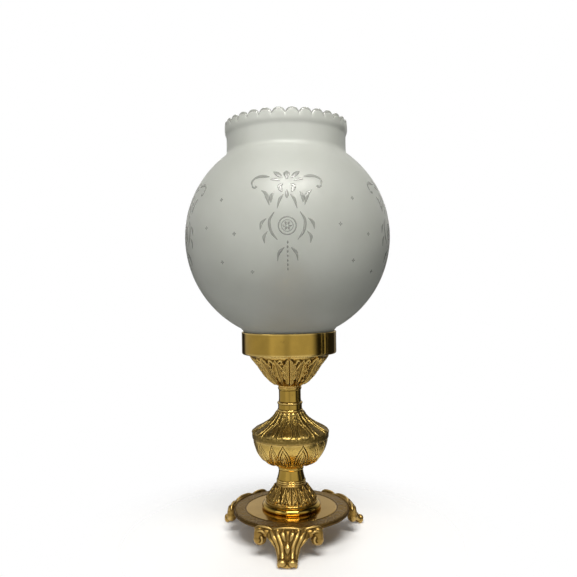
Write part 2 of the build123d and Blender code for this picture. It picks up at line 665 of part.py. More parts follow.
with BuildPart() as raiser_wheels:
    for side in (1, -1):
        wheel_face = Plane(
            origin=(SHAFT_OFFSET, side * 0.5 * WHEEL_SPACING - 0.5 * WHEEL_WIDTH, Z_SHAFT),
            x_dir=(1, 0, 0),
            z_dir=(0, 1, 0),
        )
        with BuildSketch(wheel_face):
            Polygon(*star_points(WHEEL_TEETH, WHEEL_R, 0.78 * WHEEL_R), align=None)
            Circle(SHAFT_R, mode=Mode.SUBTRACT)
        extrude(amount=WHEEL_WIDTH)
save(raiser_wheels, "raiser_wheels")

with BuildPart() as wick_knob:
    knob_face = Plane(origin=(SHAFT_OFFSET, knob_y, Z_SHAFT), x_dir=(1, 0, 0), z_dir=(0, 1, 0))
    with BuildSketch(knob_face):
        Circle(KNOB_R)
        with PolarLocations(KNOB_R, KNOB_FLUTES):
            Circle(0.09 * KNOB_R, mode=Mode.SUBTRACT)
    extrude(amount=KNOB_WIDTH)
    with BuildSketch(knob_face):
        Circle(2 * SHAFT_R)
    extrude(amount=-0.4 * KNOB_GAP)
    with BuildSketch(knob_face.offset(KNOB_WIDTH)):
        Circle(0.78 * KNOB_R)
        Circle(0.40 * KNOB_R, mode=Mode.SUBTRACT)
    extrude(amount=-0.25 * KNOB_WIDTH, mode=Mode.SUBTRACT)
    with BuildSketch(knob_face.offset(-0.4 * KNOB_GAP)):
        Circle(SHAFT_R)
    extrude(amount=KNOB_WIDTH + 0.4 * KNOB_GAP, mode=Mode.SUBTRACT)
save(wick_knob, "wick_knob")

# ==== glass ========================================================================================
with BuildPart() as chimney:
    waist_r = 0.70 * CHIMNEY_R
    chimney_line = [
        (CHIMNEY_R, Z_CHIMNEY + CHIMNEY_BELLY),
        (0.5 * (CHIMNEY_R + waist_r), Z_CHIMNEY + 1.10 * CHIMNEY_BELLY),
        (waist_r, Z_CHIMNEY + 1.30 * CHIMNEY_BELLY),
        (waist_r + 0.3, Z_CHIMNEY + CHIMNEY_HEIGHT),
    ]
    disc(CHIMNEY_R, Z_CHIMNEY, CHIMNEY_BELLY, hole=CHIMNEY_R - CHIMNEY_WALL)
    turn(chimney_line[:3], inward(chimney_line[:3], CHIMNEY_WALL))
    turn(chimney_line[2:], inward(chimney_line[2:], CHIMNEY_WALL))
save(chimney, "chimney")

Z_BALL_BOTTOM = Z_SEAT + FITTER_HEIGHT
Z_BALL = Z_BALL_BOTTOM + math.sqrt(BALL_R**2 - FITTER_R**2)
Z_SHOULDER = Z_BALL + math.sqrt(BALL_R**2 - MOUTH_R**2)
Z_RIM = Z_SHOULDER + MOUTH_HEIGHT


def shade_outline(inset):
    """Half outline of the shade, moved in by a wall thickness: fitter, ball, mouth and flared lip."""
    ball_r, fitter_r, mouth_r = BALL_R - inset, FITTER_R - inset, MOUTH_R - inset
    low = Z_BALL - math.sqrt(ball_r**2 - fitter_r**2)
    high = Z_BALL + math.sqrt(ball_r**2 - mouth_r**2)
    fitter = Line((fitter_r, Z_SEAT), (fitter_r, low))
    ball = ThreePointArc((fitter_r, low), (ball_r, Z_BALL), (mouth_r, high))
    mouth = Line((mouth_r, high), (mouth_r, Z_RIM - 2 * CRIMP_DEPTH))
    lip = Line(mouth @ 1, (mouth_r + LIP_FLARE, Z_RIM))
    return fitter @ 0, lip @ 1


with BuildPart() as shade:
    with BuildSketch(Plane.XZ):
        with BuildLine():
            outer_low, outer_high = shade_outline(0)
            inner_low, inner_high = shade_outline(SHADE_WALL)
            Line(outer_low, inner_low)
            Line(outer_high, inner_high)
        make_face()
    revolve(axis=Axis.Z)
    # scallops pinched into the rim
    notch_r = 0.72 * CRIMP_DEPTH
    with Locations(*round_about(CRIMP_COUNT)):
        with Locations((0.8 * MOUTH_R, 0, Z_RIM - CRIMP_DEPTH + notch_r)):
            Cylinder(
                notch_r,
                0.2 * MOUTH_R + LIP_FLARE + 1,
                rotation=(0, 90, 0),
                align=(Align.CENTER, Align.CENTER, Align.MIN),
                mode=Mode.SUBTRACT,
            )
save(shade, "shade")
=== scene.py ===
"""Looks of the brass oil lamp: cast and polished brass stand, burner, clear chimney and frosted ball shade.

Outlines are in millimetres, as (radius, height above the table), and become metres when a mesh is made.
The front foot points along -Y.
"""

import math

import bmesh
import bpy
import numpy as np
from mathutils import Matrix, Vector


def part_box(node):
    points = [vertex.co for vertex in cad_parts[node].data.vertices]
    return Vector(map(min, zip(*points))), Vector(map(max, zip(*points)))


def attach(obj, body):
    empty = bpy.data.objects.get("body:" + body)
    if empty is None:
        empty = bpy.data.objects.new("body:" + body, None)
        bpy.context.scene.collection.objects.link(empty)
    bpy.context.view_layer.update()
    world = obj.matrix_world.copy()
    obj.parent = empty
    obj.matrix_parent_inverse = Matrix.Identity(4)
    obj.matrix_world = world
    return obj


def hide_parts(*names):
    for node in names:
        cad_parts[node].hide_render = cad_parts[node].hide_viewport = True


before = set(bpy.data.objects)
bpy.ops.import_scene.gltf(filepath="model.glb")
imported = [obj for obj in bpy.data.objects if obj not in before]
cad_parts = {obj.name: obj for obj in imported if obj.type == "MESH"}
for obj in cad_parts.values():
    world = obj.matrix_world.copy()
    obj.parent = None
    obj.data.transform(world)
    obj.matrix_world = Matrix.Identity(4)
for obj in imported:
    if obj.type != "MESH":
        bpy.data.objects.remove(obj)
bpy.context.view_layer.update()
MM = 0.001
TAU = 2 * math.pi
rng = np.random.default_rng(7)

# ---- camera ----
CAMERA_TURN = math.radians(3.3)
CAMERA_ROLL = math.radians(-0.86)
CAMERA_DISTANCE = 0.685
CAMERA_HEIGHT = 0.2653
CAMERA_LENS = 38.83
CAMERA_SHIFT = (0.0003, 0.0083)
camera = bpy.data.objects.new("camera", bpy.data.cameras.new("camera"))
bpy.context.scene.collection.objects.link(camera)
camera.data.sensor_width = 36.0
camera.data.lens = CAMERA_LENS
camera.data.shift_x, camera.data.shift_y = CAMERA_SHIFT
camera.data.clip_start = 0.01
camera.location = (
    CAMERA_DISTANCE * math.sin(CAMERA_TURN),
    -CAMERA_DISTANCE * math.cos(CAMERA_TURN),
    CAMERA_HEIGHT,
)
turned = Matrix.Rotation(CAMERA_TURN, 4, "Z")
level = Matrix.Rotation(math.radians(90), 4, "X")
rolled = Matrix.Rotation(CAMERA_ROLL, 4, "Z")
camera.rotation_euler = (turned @ level @ rolled).to_euler()
bpy.context.scene.camera = camera


# ---- curves and meshes ----
def fair(points, step=0.5):
    """A Catmull-Rom curve through the points, cut into even steps."""
    p = np.array(points, float)
    if len(p) == 2:
        count = max(2, int(np.linalg.norm(p[1] - p[0]) / step) + 1)
        return np.linspace(p[0], p[1], count)
    ends = np.vstack([2 * p[0] - p[1], p, 2 * p[-1] - p[-2]])
    t = np.linspace(0, 1, 24, endpoint=False)[:, None]
    out = []
    for a, b, c, d in zip(ends, ends[1:], ends[2:], ends[3:]):
        square, cube = 2 * a - 5 * b + 4 * c - d, 3 * b - a - 3 * c + d
        out.append(0.5 * ((2 * b) + (c - a) * t + square * t**2 + cube * t**3))
    out = np.vstack(out + [p[-1:]])
    run = np.concatenate([[0], np.cumsum(np.linalg.norm(np.diff(out, axis=0), axis=1))])
    even = np.linspace(0, run[-1], max(3, int(run[-1] / step) + 1))
    return np.stack([np.interp(even, run, out[:, k]) for k in range(out.shape[1])], axis=1)


def chain(*runs, step=0.5):
    """Several runs of a profile, each smooth, joined at corners."""
    rows = [fair(run, step) for run in runs]
    return np.vstack([rows[0]] + [row[1:] for row in rows[1:]])


def mesh_object(name, verts, faces):
    mesh = bpy.data.meshes.new(name)
    faces = faces.tolist() if isinstance(faces, np.ndarray) else faces
    mesh.from_pydata(np.asarray(verts, float).tolist(), [], faces)
    mesh.update()
    obj = bpy.data.objects.new(name, mesh)
    bpy.context.scene.collection.objects.link(obj)
    mesh.shade_smooth()
    return obj


def grid_faces(rows, cols, wrap_rows=False, wrap_cols=True, start=0):
    """Quads over rows x cols points, numbered row by row from start."""
    i = np.arange(rows if wrap_rows else rows - 1)
    j = np.arange(cols if wrap_cols else cols - 1)
    i, j = np.meshgrid(i, j, indexing="ij")
    i2, j2 = (i + 1) % rows, (j + 1) % cols
    quads = np.stack([i * cols + j, i * cols + j2, i2 * cols + j2, i2 * cols + j], axis=-1)
    return quads.reshape(-1, 4) + start


def recess(obj, reach, gain=2.2):
    """Writes the attribute 'recess': 0 on proud edges, 0.5 on plain surface, 1 in hollows.

    It comes from the depth below a smoothed copy, in which hollows up to about reach mm wide are filled.
    """
    mesh = obj.data
    n = len(mesh.vertices)
    co = np.empty(n * 3)
    mesh.vertices.foreach_get("co", co)
    co = co.reshape(-1, 3) / MM
    normal = np.empty(n * 3)
    mesh.vertex_normals.foreach_get("vector", normal)
    normal = normal.reshape(-1, 3)
    edges = np.empty(len(mesh.edges) * 2, int)
    mesh.edges.foreach_get("vertices", edges)
    a, b = edges.reshape(-1, 2).T
    degree = np.bincount(a, minlength=n) + np.bincount(b, minlength=n)
    mean_edge = np.median(np.linalg.norm(co[a] - co[b], axis=1))
    rounds = int(min(60, max(3, 2 * (reach / mean_edge) ** 2)))
    p = co.copy()
    for _ in range(rounds):
        pull = [np.bincount(a, weights=p[b, k], minlength=n) for k in range(3)]
        pull = [pull[k] + np.bincount(b, weights=p[a, k], minlength=n) for k in range(3)]
        p = 0.5 * p + 0.5 * np.stack(pull, axis=1) / np.maximum(degree, 1)[:, None]
    depth = ((p - co) * normal).sum(1)
    depth -= np.median(depth)
    value = np.clip(0.5 + gain * depth / reach, 0, 1)
    attribute = mesh.attributes.new("recess", "FLOAT", "POINT")
    attribute.data.foreach_set("value", value.astype(np.float32))


def place(obj, body, slot, mat, *replaced):
    """Gives a piece its material and its body, and hides the CAD nodes that it stands for."""
    obj.data.materials.clear()
    obj.data.materials.append(mat)
    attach(obj, body)
    if replaced:
        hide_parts(*replaced)


def step_up(x, low, high):
    """Goes softly from 0 at low to 1 at high."""
    t = np.clip((x - low) / (high - low), 0, 1)
    return t * t * (3 - 2 * t)


class Carving:
    """Relief on a turned profile.

    h is its height in mm, with one row for each profile point and one column for each angle. A place on it is
    an angle in degrees and s, the distance along the profile in mm.
    """

    def __init__(self, profile, columns):
        self.r = profile[:, 0][:, None]
        run = np.linalg.norm(np.diff(profile, axis=0), axis=1)
        self.s = np.concatenate([[0], np.cumsum(run)])[:, None]
        self.length = float(self.s[-1, 0])
        self.theta = np.arange(columns)[None, :] * 360.0 / columns
        self.h = np.zeros((len(profile), columns))

    def across(self, at):
        """Distance round the surface from the angle at, in mm."""
        return np.radians((self.theta - at + 180) % 360 - 180) * self.r

    def band(self, s0, s1, soft=0.8):
        """1 between s0 and s1, and 0 beyond."""
        return step_up(self.s, s0, s0 + soft) * (1 - step_up(self.s, s1 - soft, s1))

    def leaf(
        self, at, s0, s1, width, height, belly=0.4, lobes=0, veins=0.0, rim=0.0, lean=0.0, sharp=0.8, soft=0.9
    ):
        """A raised leaf from s0 to s1, width to each side and widest at the share belly of its length."""
        t = np.clip((self.s - s0) / (s1 - s0), 1e-4, 1 - 1e-4)
        inside = (self.s > min(s0, s1)) & (self.s < max(s0, s1))
        half = width * np.sin(math.pi * t ** (math.log(0.5) / math.log(belly))) ** sharp
        if lobes:
            half = half * (1 - 0.26 * (1 - np.abs(np.sin(math.pi * lobes * t))))
        x = self.across(at) - lean * np.sin(math.pi * t)
        edge = np.where(inside, half - np.abs(x), -1)
        up = step_up(edge, 0, soft)
        value = height * up * (0.7 + 0.3 * np.clip(edge / (0.6 * width), 0, 1))
        value = value + rim * np.exp(-(((edge - 0.7) / 0.45) ** 2)) * up
        if veins:
            fan = (np.abs(x) * 0.9 - (self.s - s0) * np.sign(s1 - s0)) / 1.7
            value = value - veins * up * step_up(edge, 0.8, 1.6) * (0.5 + 0.5 * np.cos(TAU * fan))
            value = value - 1.3 * veins * up * np.exp(-((x / 0.4) ** 2))
        self.h = np.maximum(self.h, np.where(edge > 0, value, -9))

    def line(self, points, radius, height):
        """A raised line through (angle, s) points; a negative height is a groove."""
        pts = fair(points, 0.6) if len(points) > 2 else np.linspace(points[0], points[1], 24)
        best = np.full(self.h.shape, 1e9)
        for at, s in pts:
            rows = np.abs(self.s[:, 0] - s) < 4 * radius
            x = np.radians((self.theta - at + 180) % 360 - 180) * self.r[rows]
            best[rows] = np.minimum(best[rows], x**2 + (self.s[rows] - s) ** 2)
        value = height * np.exp(-best / radius**2)
        if height > 0:
            self.h = np.maximum(self.h, self.h * 0.4 + value)
        else:
            self.h = self.h + value

    def beads(self, count, s, radius, phase=0.0, height=1.0):
        """A ring of round beads."""
        pitch = 360 / count
        x = np.radians((self.theta - phase + pitch / 2) % pitch - pitch / 2) * self.r
        d2 = x**2 + (self.s - s) ** 2
        self.h = np.maximum(self.h, height * (np.sqrt(np.clip(radius**2 - d2, 0, None)) - 0.15 * radius))

    def flutes(self, count, s0, s1, depth, phase=0.0, power=0.6, soft=1.5):
        """Grooves that run up the profile, with rounded ribs between them."""
        wave = np.abs(np.sin(np.radians((self.theta - phase) * count / 2))) ** power
        self.h = self.h + depth * (wave - 1) * self.band(s0, s1, soft)

    def grain(self, s0, s1, size, height):
        """Hammered or stippled ground."""
        noise = rng.normal(size=self.h.shape)
        for shift in (1, 2) if size > 1 else (1,):
            noise = noise + np.roll(noise, shift, 1) + np.roll(noise, -shift, 1)
            noise[1:-1] = noise[1:-1] + noise[2:] + noise[:-2]
        noise = noise / noise.std()
        self.h = self.h + height * noise * self.band(s0, s1)


def lathe(name, body, slot, mat, outer, inner, replaced, carve=None, columns=240, reach=1.4):
    """A closed turned piece. outer runs up or outwards with the relief on it, inner closes it again."""
    carving = Carving(outer, columns)
    if carve:
        carve(carving)
    tangent = np.gradient(outer, axis=0)
    tangent /= np.maximum(np.linalg.norm(tangent, axis=1), 1e-9)[:, None]
    normal = np.stack([tangent[:, 1], -tangent[:, 0]], axis=1)
    ends = np.ones(len(outer))
    ends[0] = ends[-1] = 0
    lift = carving.h * ends[:, None]
    r = outer[:, 0][:, None] + normal[:, 0][:, None] * lift
    z = outer[:, 1][:, None] + normal[:, 1][:, None] * lift
    inner = np.asarray(inner, float)
    r = np.vstack([r, np.repeat(inner[:, 0][:, None], columns, 1)])
    z = np.vstack([z, np.repeat(inner[:, 1][:, None], columns, 1)])
    angle = np.radians(carving.theta)
    verts = np.stack([r * np.cos(angle), r * np.sin(angle), z], axis=-1).reshape(-1, 3) * MM
    obj = mesh_object(name, verts, grid_faces(len(r), columns, wrap_rows=True))
    recess(obj, reach)
    place(obj, body, slot, mat, replaced)


# ---- materials ----
class Nodes:
    """Short names for a material's nodes."""

    def __init__(self, name):
        self.mat = bpy.data.materials.new(name)
        self.mat.use_nodes = True
        self.tree = self.mat.node_tree
        self.tree.nodes.clear()
        self.out = self.tree.nodes.new("ShaderNodeOutputMaterial")
        self.shader = self.tree.nodes.new("ShaderNodeBsdfPrincipled")
        self.tree.links.new(self.shader.outputs[0], self.out.inputs["Surface"])
        self.coord = self.tree.nodes.new("ShaderNodeTexCoord").outputs["Object"]

    def link(self, source, target):
        self.tree.links.new(source, target)

    def set(self, **values):
        for key, value in values.items():
            socket = self.shader.inputs[key.replace("_", " ")]
            if hasattr(value, "is_output"):
                self.link(value, socket)
            else:
                socket.default_value = value

    def noise(self, scale, detail=4.0, stretch=None, kind="ShaderNodeTexNoise", rough=0.55):
        node = self.tree.nodes.new(kind)
        node.inputs["Scale"].default_value = scale
        if kind == "ShaderNodeTexNoise":
            node.inputs["Detail"].default_value = detail
            node.inputs["Roughness"].default_value = rough
        source = self.coord
        if stretch:
            mapping = self.tree.nodes.new("ShaderNodeMapping")
            mapping.inputs["Scale"].default_value = stretch
            self.link(source, mapping.inputs[0])
            source = mapping.outputs[0]
        self.link(source, node.inputs["Vector"])
        return node.outputs[0]

    def attribute(self, name):
        node = self.tree.nodes.new("ShaderNodeAttribute")
        node.attribute_name = name
        return node.outputs["Fac"]

    def ramp(self, value, low, high, to_low=0.0, to_high=1.0):
        node = self.tree.nodes.new("ShaderNodeMapRange")
        node.interpolation_type = "SMOOTHSTEP"
        for key, v in zip(("From Min", "From Max", "To Min", "To Max"), (low, high, to_low, to_high)):
            node.inputs[key].default_value = v
        self.link(value, node.inputs["Value"])
        return node.outputs[0]

    def math(self, kind, a, b):
        node = self.tree.nodes.new("ShaderNodeMath")
        node.operation = kind
        node.use_clamp = True
        for socket, v in zip(node.inputs, (a, b)):
            if hasattr(v, "is_output"):
                self.link(v, socket)
            else:
                socket.default_value = v
        return node.outputs[0]

    def mix(self, factor, a, b):
        node = self.tree.nodes.new("ShaderNodeMix")
        node.data_type = "RGBA"
        for socket, v in zip((node.inputs[0], node.inputs[6], node.inputs[7]), (factor, a, b)):
            if hasattr(v, "is_output"):
                self.link(v, socket)
            elif isinstance(v, tuple):
                socket.default_value = (*v, 1.0)
            else:
                socket.default_value = v
        return node.outputs[2]

    def length(self, vector):
        node = self.tree.nodes.new("ShaderNodeVectorMath")
        node.operation = "LENGTH"
        self.link(vector, node.inputs[0])
        return node.outputs["Value"]

    def blend(self, factor, first, second):
        """The surface goes from the first shader to the second as the factor goes from 0 to 1."""
        node = self.tree.nodes.new("ShaderNodeMixShader")
        for source, socket in zip((factor, first.outputs[0], second.outputs[0]), node.inputs):
            self.link(source, socket)
        self.link(node.outputs[0], self.out.inputs["Surface"])

    def bump(self, *layers):
        """Bump from (height, strength, distance in mm) layers."""
        last = None
        for height, strength, distance in layers:
            node = self.tree.nodes.new("ShaderNodeBump")
            node.inputs["Strength"].default_value = strength
            node.inputs["Distance"].default_value = distance * MM
            self.link(height, node.inputs["Height"])
            if last is not None:
                self.link(last, node.inputs["Normal"])
            last = node.outputs[0]
        self.link(last, self.shader.inputs["Normal"])


def brass(name, gold, dark, bright, rough, haze=0.12, relief=True, spots=0.5):
    """Brass with patina and painted shade in its hollows, rubbed edges, hazy patches, small stains and fine
    scratches.
    """
    n = Nodes(name)
    cloud = n.noise(38, 5)
    fine = n.noise(420, 3)
    stain = n.ramp(n.noise(160, 6, rough=0.7), 0.60, 0.72)
    streak = n.noise(900, 2, stretch=(1, 1, 0.06))
    base = n.mix(n.ramp(cloud, 0.3, 0.7), gold, tuple(0.82 * c for c in gold))
    base = n.mix(n.math("MULTIPLY", stain, 0.35 * spots), base, dark)
    roughness = n.ramp(n.noise(55, 6), 0.35, 0.7, rough, rough + haze)
    if relief:
        level = n.attribute("recess")
        # patina and painted shade: the hollows of the relief are darkened towards the dark colour
        deep = n.math("MULTIPLY", n.ramp(level, 0.53, 0.80), n.ramp(n.noise(240, 4), 0.2, 0.6, 0.7, 1.0))
        base = n.mix(deep, base, dark)
        base = n.mix(n.math("MULTIPLY", n.ramp(level, 0.46, 0.25), 0.8), base, bright)
        roughness = n.math("ADD", roughness, n.math("MULTIPLY", deep, 0.28))
    n.set(Base_Color=base, Metallic=1.0, Roughness=roughness)
    n.bump((streak, 0.05, 0.15), (fine, 0.10, 0.12), (stain, 0.08, 0.1))
    return n


GOLD = (0.60, 0.365, 0.075)
OLIVE = (0.075, 0.045, 0.010)
PALE = (0.86, 0.62, 0.21)
cast_brass = brass("cast_brass", GOLD, OLIVE, PALE, 0.22, haze=0.14).mat
# a lighter copy of the cast brass for the knop's bowl, which faces down to the bright floor: painted light
bowl_brass_painted_lit = brass("cast_brass_bowl_painted_lit", (0.78, 0.54, 0.145), OLIVE, PALE, 0.20).mat
smooth_brass = brass("smooth_brass", (0.62, 0.40, 0.080), OLIVE, PALE, 0.07, haze=0.07, spots=0.6).mat
burner_brass = brass("burner_brass", (0.55, 0.36, 0.11), OLIVE, PALE, 0.28, 0.15, relief=False, spots=1.0).mat
knob_brass = brass("knob_brass", (0.60, 0.38, 0.09), OLIVE, PALE, 0.22, relief=False).mat
foot_brass = brass(
    "cast_brass_foot", (0.43, 0.265, 0.070), (0.12, 0.070, 0.018), (0.62, 0.43, 0.15), 0.37
).mat
cone_brass = brass(
    "cast_brass_cone", (0.235, 0.140, 0.032), (0.045, 0.027, 0.007), (0.47, 0.31, 0.09), 0.28
).mat
# a darker copy of the cast brass for the knop's dome, which faces up to the dim room: painted shade
dome_brass_painted_shade = brass(
    "cast_brass_dome_painted_shade", (0.27, 0.185, 0.048), (0.040, 0.027, 0.007), (0.48, 0.34, 0.11), 0.34
).mat
BORDER_FROM, BORDER_TO = 0.0488, 0.0494  # the groove in the plate, in metres from the axis


def two_part_brass():
    """The plate: a hazy mirror in the middle, and a browner, rougher border beyond the groove."""
    n = brass("plate_brass", (0.27, 0.165, 0.043), (0.08, 0.045, 0.012), (0.46, 0.30, 0.095), 0.33)
    flat = n.tree.nodes.new("ShaderNodeVectorMath")
    flat.operation = "MULTIPLY"
    flat.inputs[1].default_value = (1, 1, 0)
    n.link(n.coord, flat.inputs[0])
    border = n.ramp(n.length(flat.outputs[0]), BORDER_FROM, BORDER_TO)
    rough, base = n.shader.inputs["Roughness"], n.shader.inputs["Base Color"]
    rough_border, base_border = rough.links[0].from_socket, base.links[0].from_socket
    haze = n.ramp(n.noise(48, 6), 0.35, 0.7, 0.10, 0.17)
    center = n.mix(n.ramp(n.noise(30, 5), 0.3, 0.7), (0.60, 0.375, 0.080), (0.52, 0.315, 0.062))
    n.set(Base_Color=n.mix(border, center, base_border))
    rough_center = n.math("MULTIPLY", n.ramp(border, 0, 1, 1, 0), haze)
    n.set(Roughness=n.math("ADD", rough_center, n.math("MULTIPLY", border, rough_border)))
    return n.mat


plate_brass = two_part_brass()


def steel():
    n = Nodes("steel")
    rust = n.ramp(n.noise(300, 5), 0.55, 0.7)
    n.set(Base_Color=n.mix(rust, (0.42, 0.41, 0.39), (0.22, 0.13, 0.07)), Metallic=1.0)
    n.set(Roughness=n.ramp(n.noise(200, 4), 0.3, 0.7, 0.3, 0.5))
    n.bump((n.noise(1500, 2, stretch=(1, 1, 0.1)), 0.2, 0.1))
    return n.mat


CHAR_FROM, CHAR_TO = 0.3165, 0.3183  # the burnt tip of the wick, in metres above the table


def cotton():
    n = Nodes("cotton_wick")
    weave = n.noise(1400, 1, kind="ShaderNodeTexVoronoi", stretch=(1, 1, 0.5))
    height = n.tree.nodes.new("ShaderNodeSeparateXYZ")
    n.link(n.coord, height.inputs[0])
    char = n.ramp(height.outputs[2], CHAR_FROM, CHAR_TO)
    cloth = n.mix(n.ramp(weave, 0.1, 0.6), (0.62, 0.55, 0.42), (0.82, 0.77, 0.66))
    n.set(Base_Color=n.mix(char, cloth, (0.02, 0.016, 0.013)), Roughness=0.95)
    n.bump((weave, 0.7, 0.4))
    return n.mat


def clear_glass():
    n = Nodes("clear_glass")
    n.set(Base_Color=(0.95, 0.98, 0.965, 1.0), Transmission_Weight=1.0, IOR=1.46)
    n.set(Roughness=n.ramp(n.noise(90, 5), 0.4, 0.8, 0.0, 0.06))
    n.bump((n.noise(45, 2, stretch=(1, 1, 0.2)), 0.10, 0.4))
    # a thin wall: seen straight on it hides little, at its edges it bends the view like solid glass
    edge = n.tree.nodes.new("ShaderNodeLayerWeight")
    edge.inputs["Blend"].default_value = 0.30
    through = n.tree.nodes.new("ShaderNodeBsdfTransparent")
    through.inputs["Color"].default_value = (0.93, 0.96, 0.95, 1.0)
    n.blend(n.ramp(edge.outputs["Facing"], 0.15, 0.85, 0.10, 0.80), through, n.shader)
    return n.mat


def frosted_glass():
    n = Nodes("frosted_glass")
    cloud = n.noise(26, 5)
    tint = n.mix(n.ramp(cloud, 0.3, 0.75), (0.715, 0.735, 0.695), (0.675, 0.695, 0.65))
    n.set(Base_Color=tint, Transmission_Weight=0.56, IOR=1.45)
    n.set(Roughness=n.ramp(n.noise(120, 4), 0.3, 0.7, 0.35, 0.43))
    n.bump((n.noise(2600, 2), 0.12, 0.05), (n.noise(30, 3), 0.05, 0.6))
    return n.mat


def etched_glass():
    n = Nodes("etched_glass")
    cloud = n.noise(200, 3)
    n.set(Base_Color=n.mix(n.ramp(cloud, 0.3, 0.7), (0.45, 0.46, 0.435), (0.52, 0.535, 0.50)))
    n.set(Transmission_Weight=0.55, IOR=1.45, Roughness=n.ramp(n.noise(300, 4), 0.3, 0.7, 0.10, 0.22))
    n.bump((n.noise(700, 2), 0.15, 0.08))
    return n.mat


steel_mat, wick_mat = steel(), cotton()
chimney_mat, frost_mat, etch_mat = clear_glass(), frosted_glass(), etched_glass()


# ---- the seams between the turned pieces ----
def top_of(node):
    """Height of a CAD node's top in mm."""
    return round(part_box(node)[1][2] / MM, 2)


PLATE_LOW = round(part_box("base_plate")[0][2] / MM, 2)
PLATE_TOP = top_of("base_plate")
CONE_LOW = top_of("moulding_ring")
COLLAR_LOW = top_of("base_cone")
BOWL_LOW = top_of("lower_collar")
DOME_TOP = top_of("knop_upper")
CUP_LOW = top_of("neck_collar")
BORE = 5.5  # hole for the centre rod, radius


# ---- base plate and mouldings ----
def carve_plate(c):
    s0 = 44.2  # along the plate to where its border starts
    c.grain(s0 + 1, s0 + 14.0, 2, 0.09)
    for n in range(30):
        at = n * 12
        c.line([(at, s0 + 2.0), (at + 2.4, s0 + 4.4), (at, s0 + 7.2), (at - 2.4, s0 + 9.6)], 0.7, 0.34)
        c.line([(at + 6, s0 + 8.6), (at + 4.4, s0 + 5.2), (at + 6, s0 + 2.6)], 0.6, 0.30)
    c.beads(104, s0 + 11.0, 0.72, height=0.62)
    c.line([(a, s0 + 0.7) for a in range(0, 361, 4)], 0.45, -0.55)


plate_outer = chain(
    [(BORE, PLATE_TOP), (48.6, PLATE_TOP)],
    [(48.6, PLATE_TOP), (49.2, 30.55), (50.0, 30.55)],
    [
        (50.0, 30.55), (50.6, PLATE_TOP), (53.5, PLATE_TOP), (58.0, 30.9), (61.4, 30.7), (63.1, 29.6),
        (63.45, 28.3), (62.9, 26.8), (61.4, 26.1),
    ],
    step=0.45,
)
plate_inner = [
    (61.4, 26.1), (51.2, 26.05), (51.0, 26.2), (51.0, 28.0), (13.0, 28.0), (13.0, 26.05), (12.8, PLATE_LOW),
    (BORE, PLATE_LOW),
]
lathe(
    "plate", "stand", "plate_brass", plate_brass, plate_outer, plate_inner, "base_plate",
    carve_plate, 600, reach=1.0,
)

moulding_outer = chain(
    [(29.9, PLATE_TOP), (31.6, 31.4), (32.4, 32.7), (32.35, 34.3), (31.4, 35.9), (29.6, 37.0), (28.4, 37.3)],
    [(28.4, 37.3), (28.3, 38.3), (28.9, 39.0), (28.6, 39.45), (27.5, CONE_LOW)],
    step=0.35,
)
moulding_inner = [(BORE, CONE_LOW), (BORE, 36.5), (24.0, 36.5), (25.0, 35.8), (25.0, PLATE_TOP)]
lathe(
    "moulding", "stand", "polished_brass", smooth_brass, moulding_outer, moulding_inner, "moulding_ring",
    columns=256, reach=1.2,
)


# ---- ornate base cone ----
def carve_cone(c):
    length = c.length
    for n in range(8):
        at = -86 + n * 45
        c.leaf(at + 22.5, 0.6, 0.93 * length, 3.6, 1.1, belly=0.40, lobes=3, veins=0.4, rim=0.2, lean=1.8)
        c.leaf(at, 0.4, 0.98 * length, 5.6, 1.6, belly=0.34, lobes=4, veins=0.5, rim=0.25)
        for hand in (-1, 1):
            curl = [(hand * 5, 0.25), (hand * 13, 0.12), (hand * 11, 0.30)]
            c.line([(at + turn, share * length) for turn, share in curl], 0.7, 0.9)
    c.beads(40, 0.9, 0.8)


cone_outer = [
    (27.2, CONE_LOW), (26.6, 41.0), (25.6, 43.4), (23.4, 46.4), (20.9, 49.8), (18.8, 52.6), (17.4, 55.2),
    (16.6, 57.2), (16.0, COLLAR_LOW),
]
cone_inner = [
    (BORE, COLLAR_LOW), (BORE, 55.0), (13.0, 55.0), (16.4, 50.0), (21.0, 44.5), (23.6, 40.5),
    (23.8, CONE_LOW),
]
lathe(
    "base_cone_cast", "stand", "cast_brass", cone_brass, fair(cone_outer, 0.3), cone_inner, "base_cone",
    carve_cone, 576,
)

collar_outer = chain(
    [(15.6, COLLAR_LOW), (16.0, 58.3), (16.1, 59.0), (15.9, 59.7), (15.35, 60.0)],
    [(15.35, 60.0), (15.9, 60.4), (16.0, 61.1), (15.7, 61.8), (15.2, 62.2)],
    [(15.2, 62.2), (14.75, 64.5), (14.2, 66.6), (13.65, 69.4), (13.35, 72.4)],
    [(13.35, 72.4), (13.2, 72.7), (13.75, 73.1), (14.0, 74.2), (13.8, 75.3), (13.3, 75.9), (12.6, BOWL_LOW)],
    step=0.3,
)
collar_inner = [(BORE, BOWL_LOW), (BORE, COLLAR_LOW)]
lathe(
    "collar_low", "stand", "polished_brass", smooth_brass, collar_outer, collar_inner, "lower_collar",
    columns=200, reach=1.0,
)


# ---- knop ----
def arch(c, at, half, low, peak, radius, height):
    """An outline like a pointed leaf: up one side to the peak and down the other."""
    for hand in (-1, 1):
        side = [
            (at + hand * 0.45 * half, low),
            (at + hand * half, low + 0.34 * (peak - low)),
            (at + hand * 0.72 * half, low + 0.70 * (peak - low)),
            (at, peak),
        ]
        c.line(side, radius, height)


def carve_bowl(c):
    top = c.length - 1.2
    c.flutes(30, 2.0, 15.0, 1.5, phase=3, power=0.8, soft=3.0)
    for n in range(5):
        at = -90 + n * 72
        for shift, wide in ((22.5, 12.0), (-8.5, 11.0), (-26.5, 8.0)):
            c.leaf(at + shift, 9.5, top - 8.0, 0.20 * wide, 0.9, belly=0.40, veins=0.35, sharp=0.9, soft=0.6)
            arch(c, at + shift, wide, 9.0, top, 0.50, -0.75)
            arch(c, at + shift, 0.66 * wide, 9.5, top - 5.0, 0.45, -0.65)
    c.grain(12, c.length - 1, 2, 0.03)


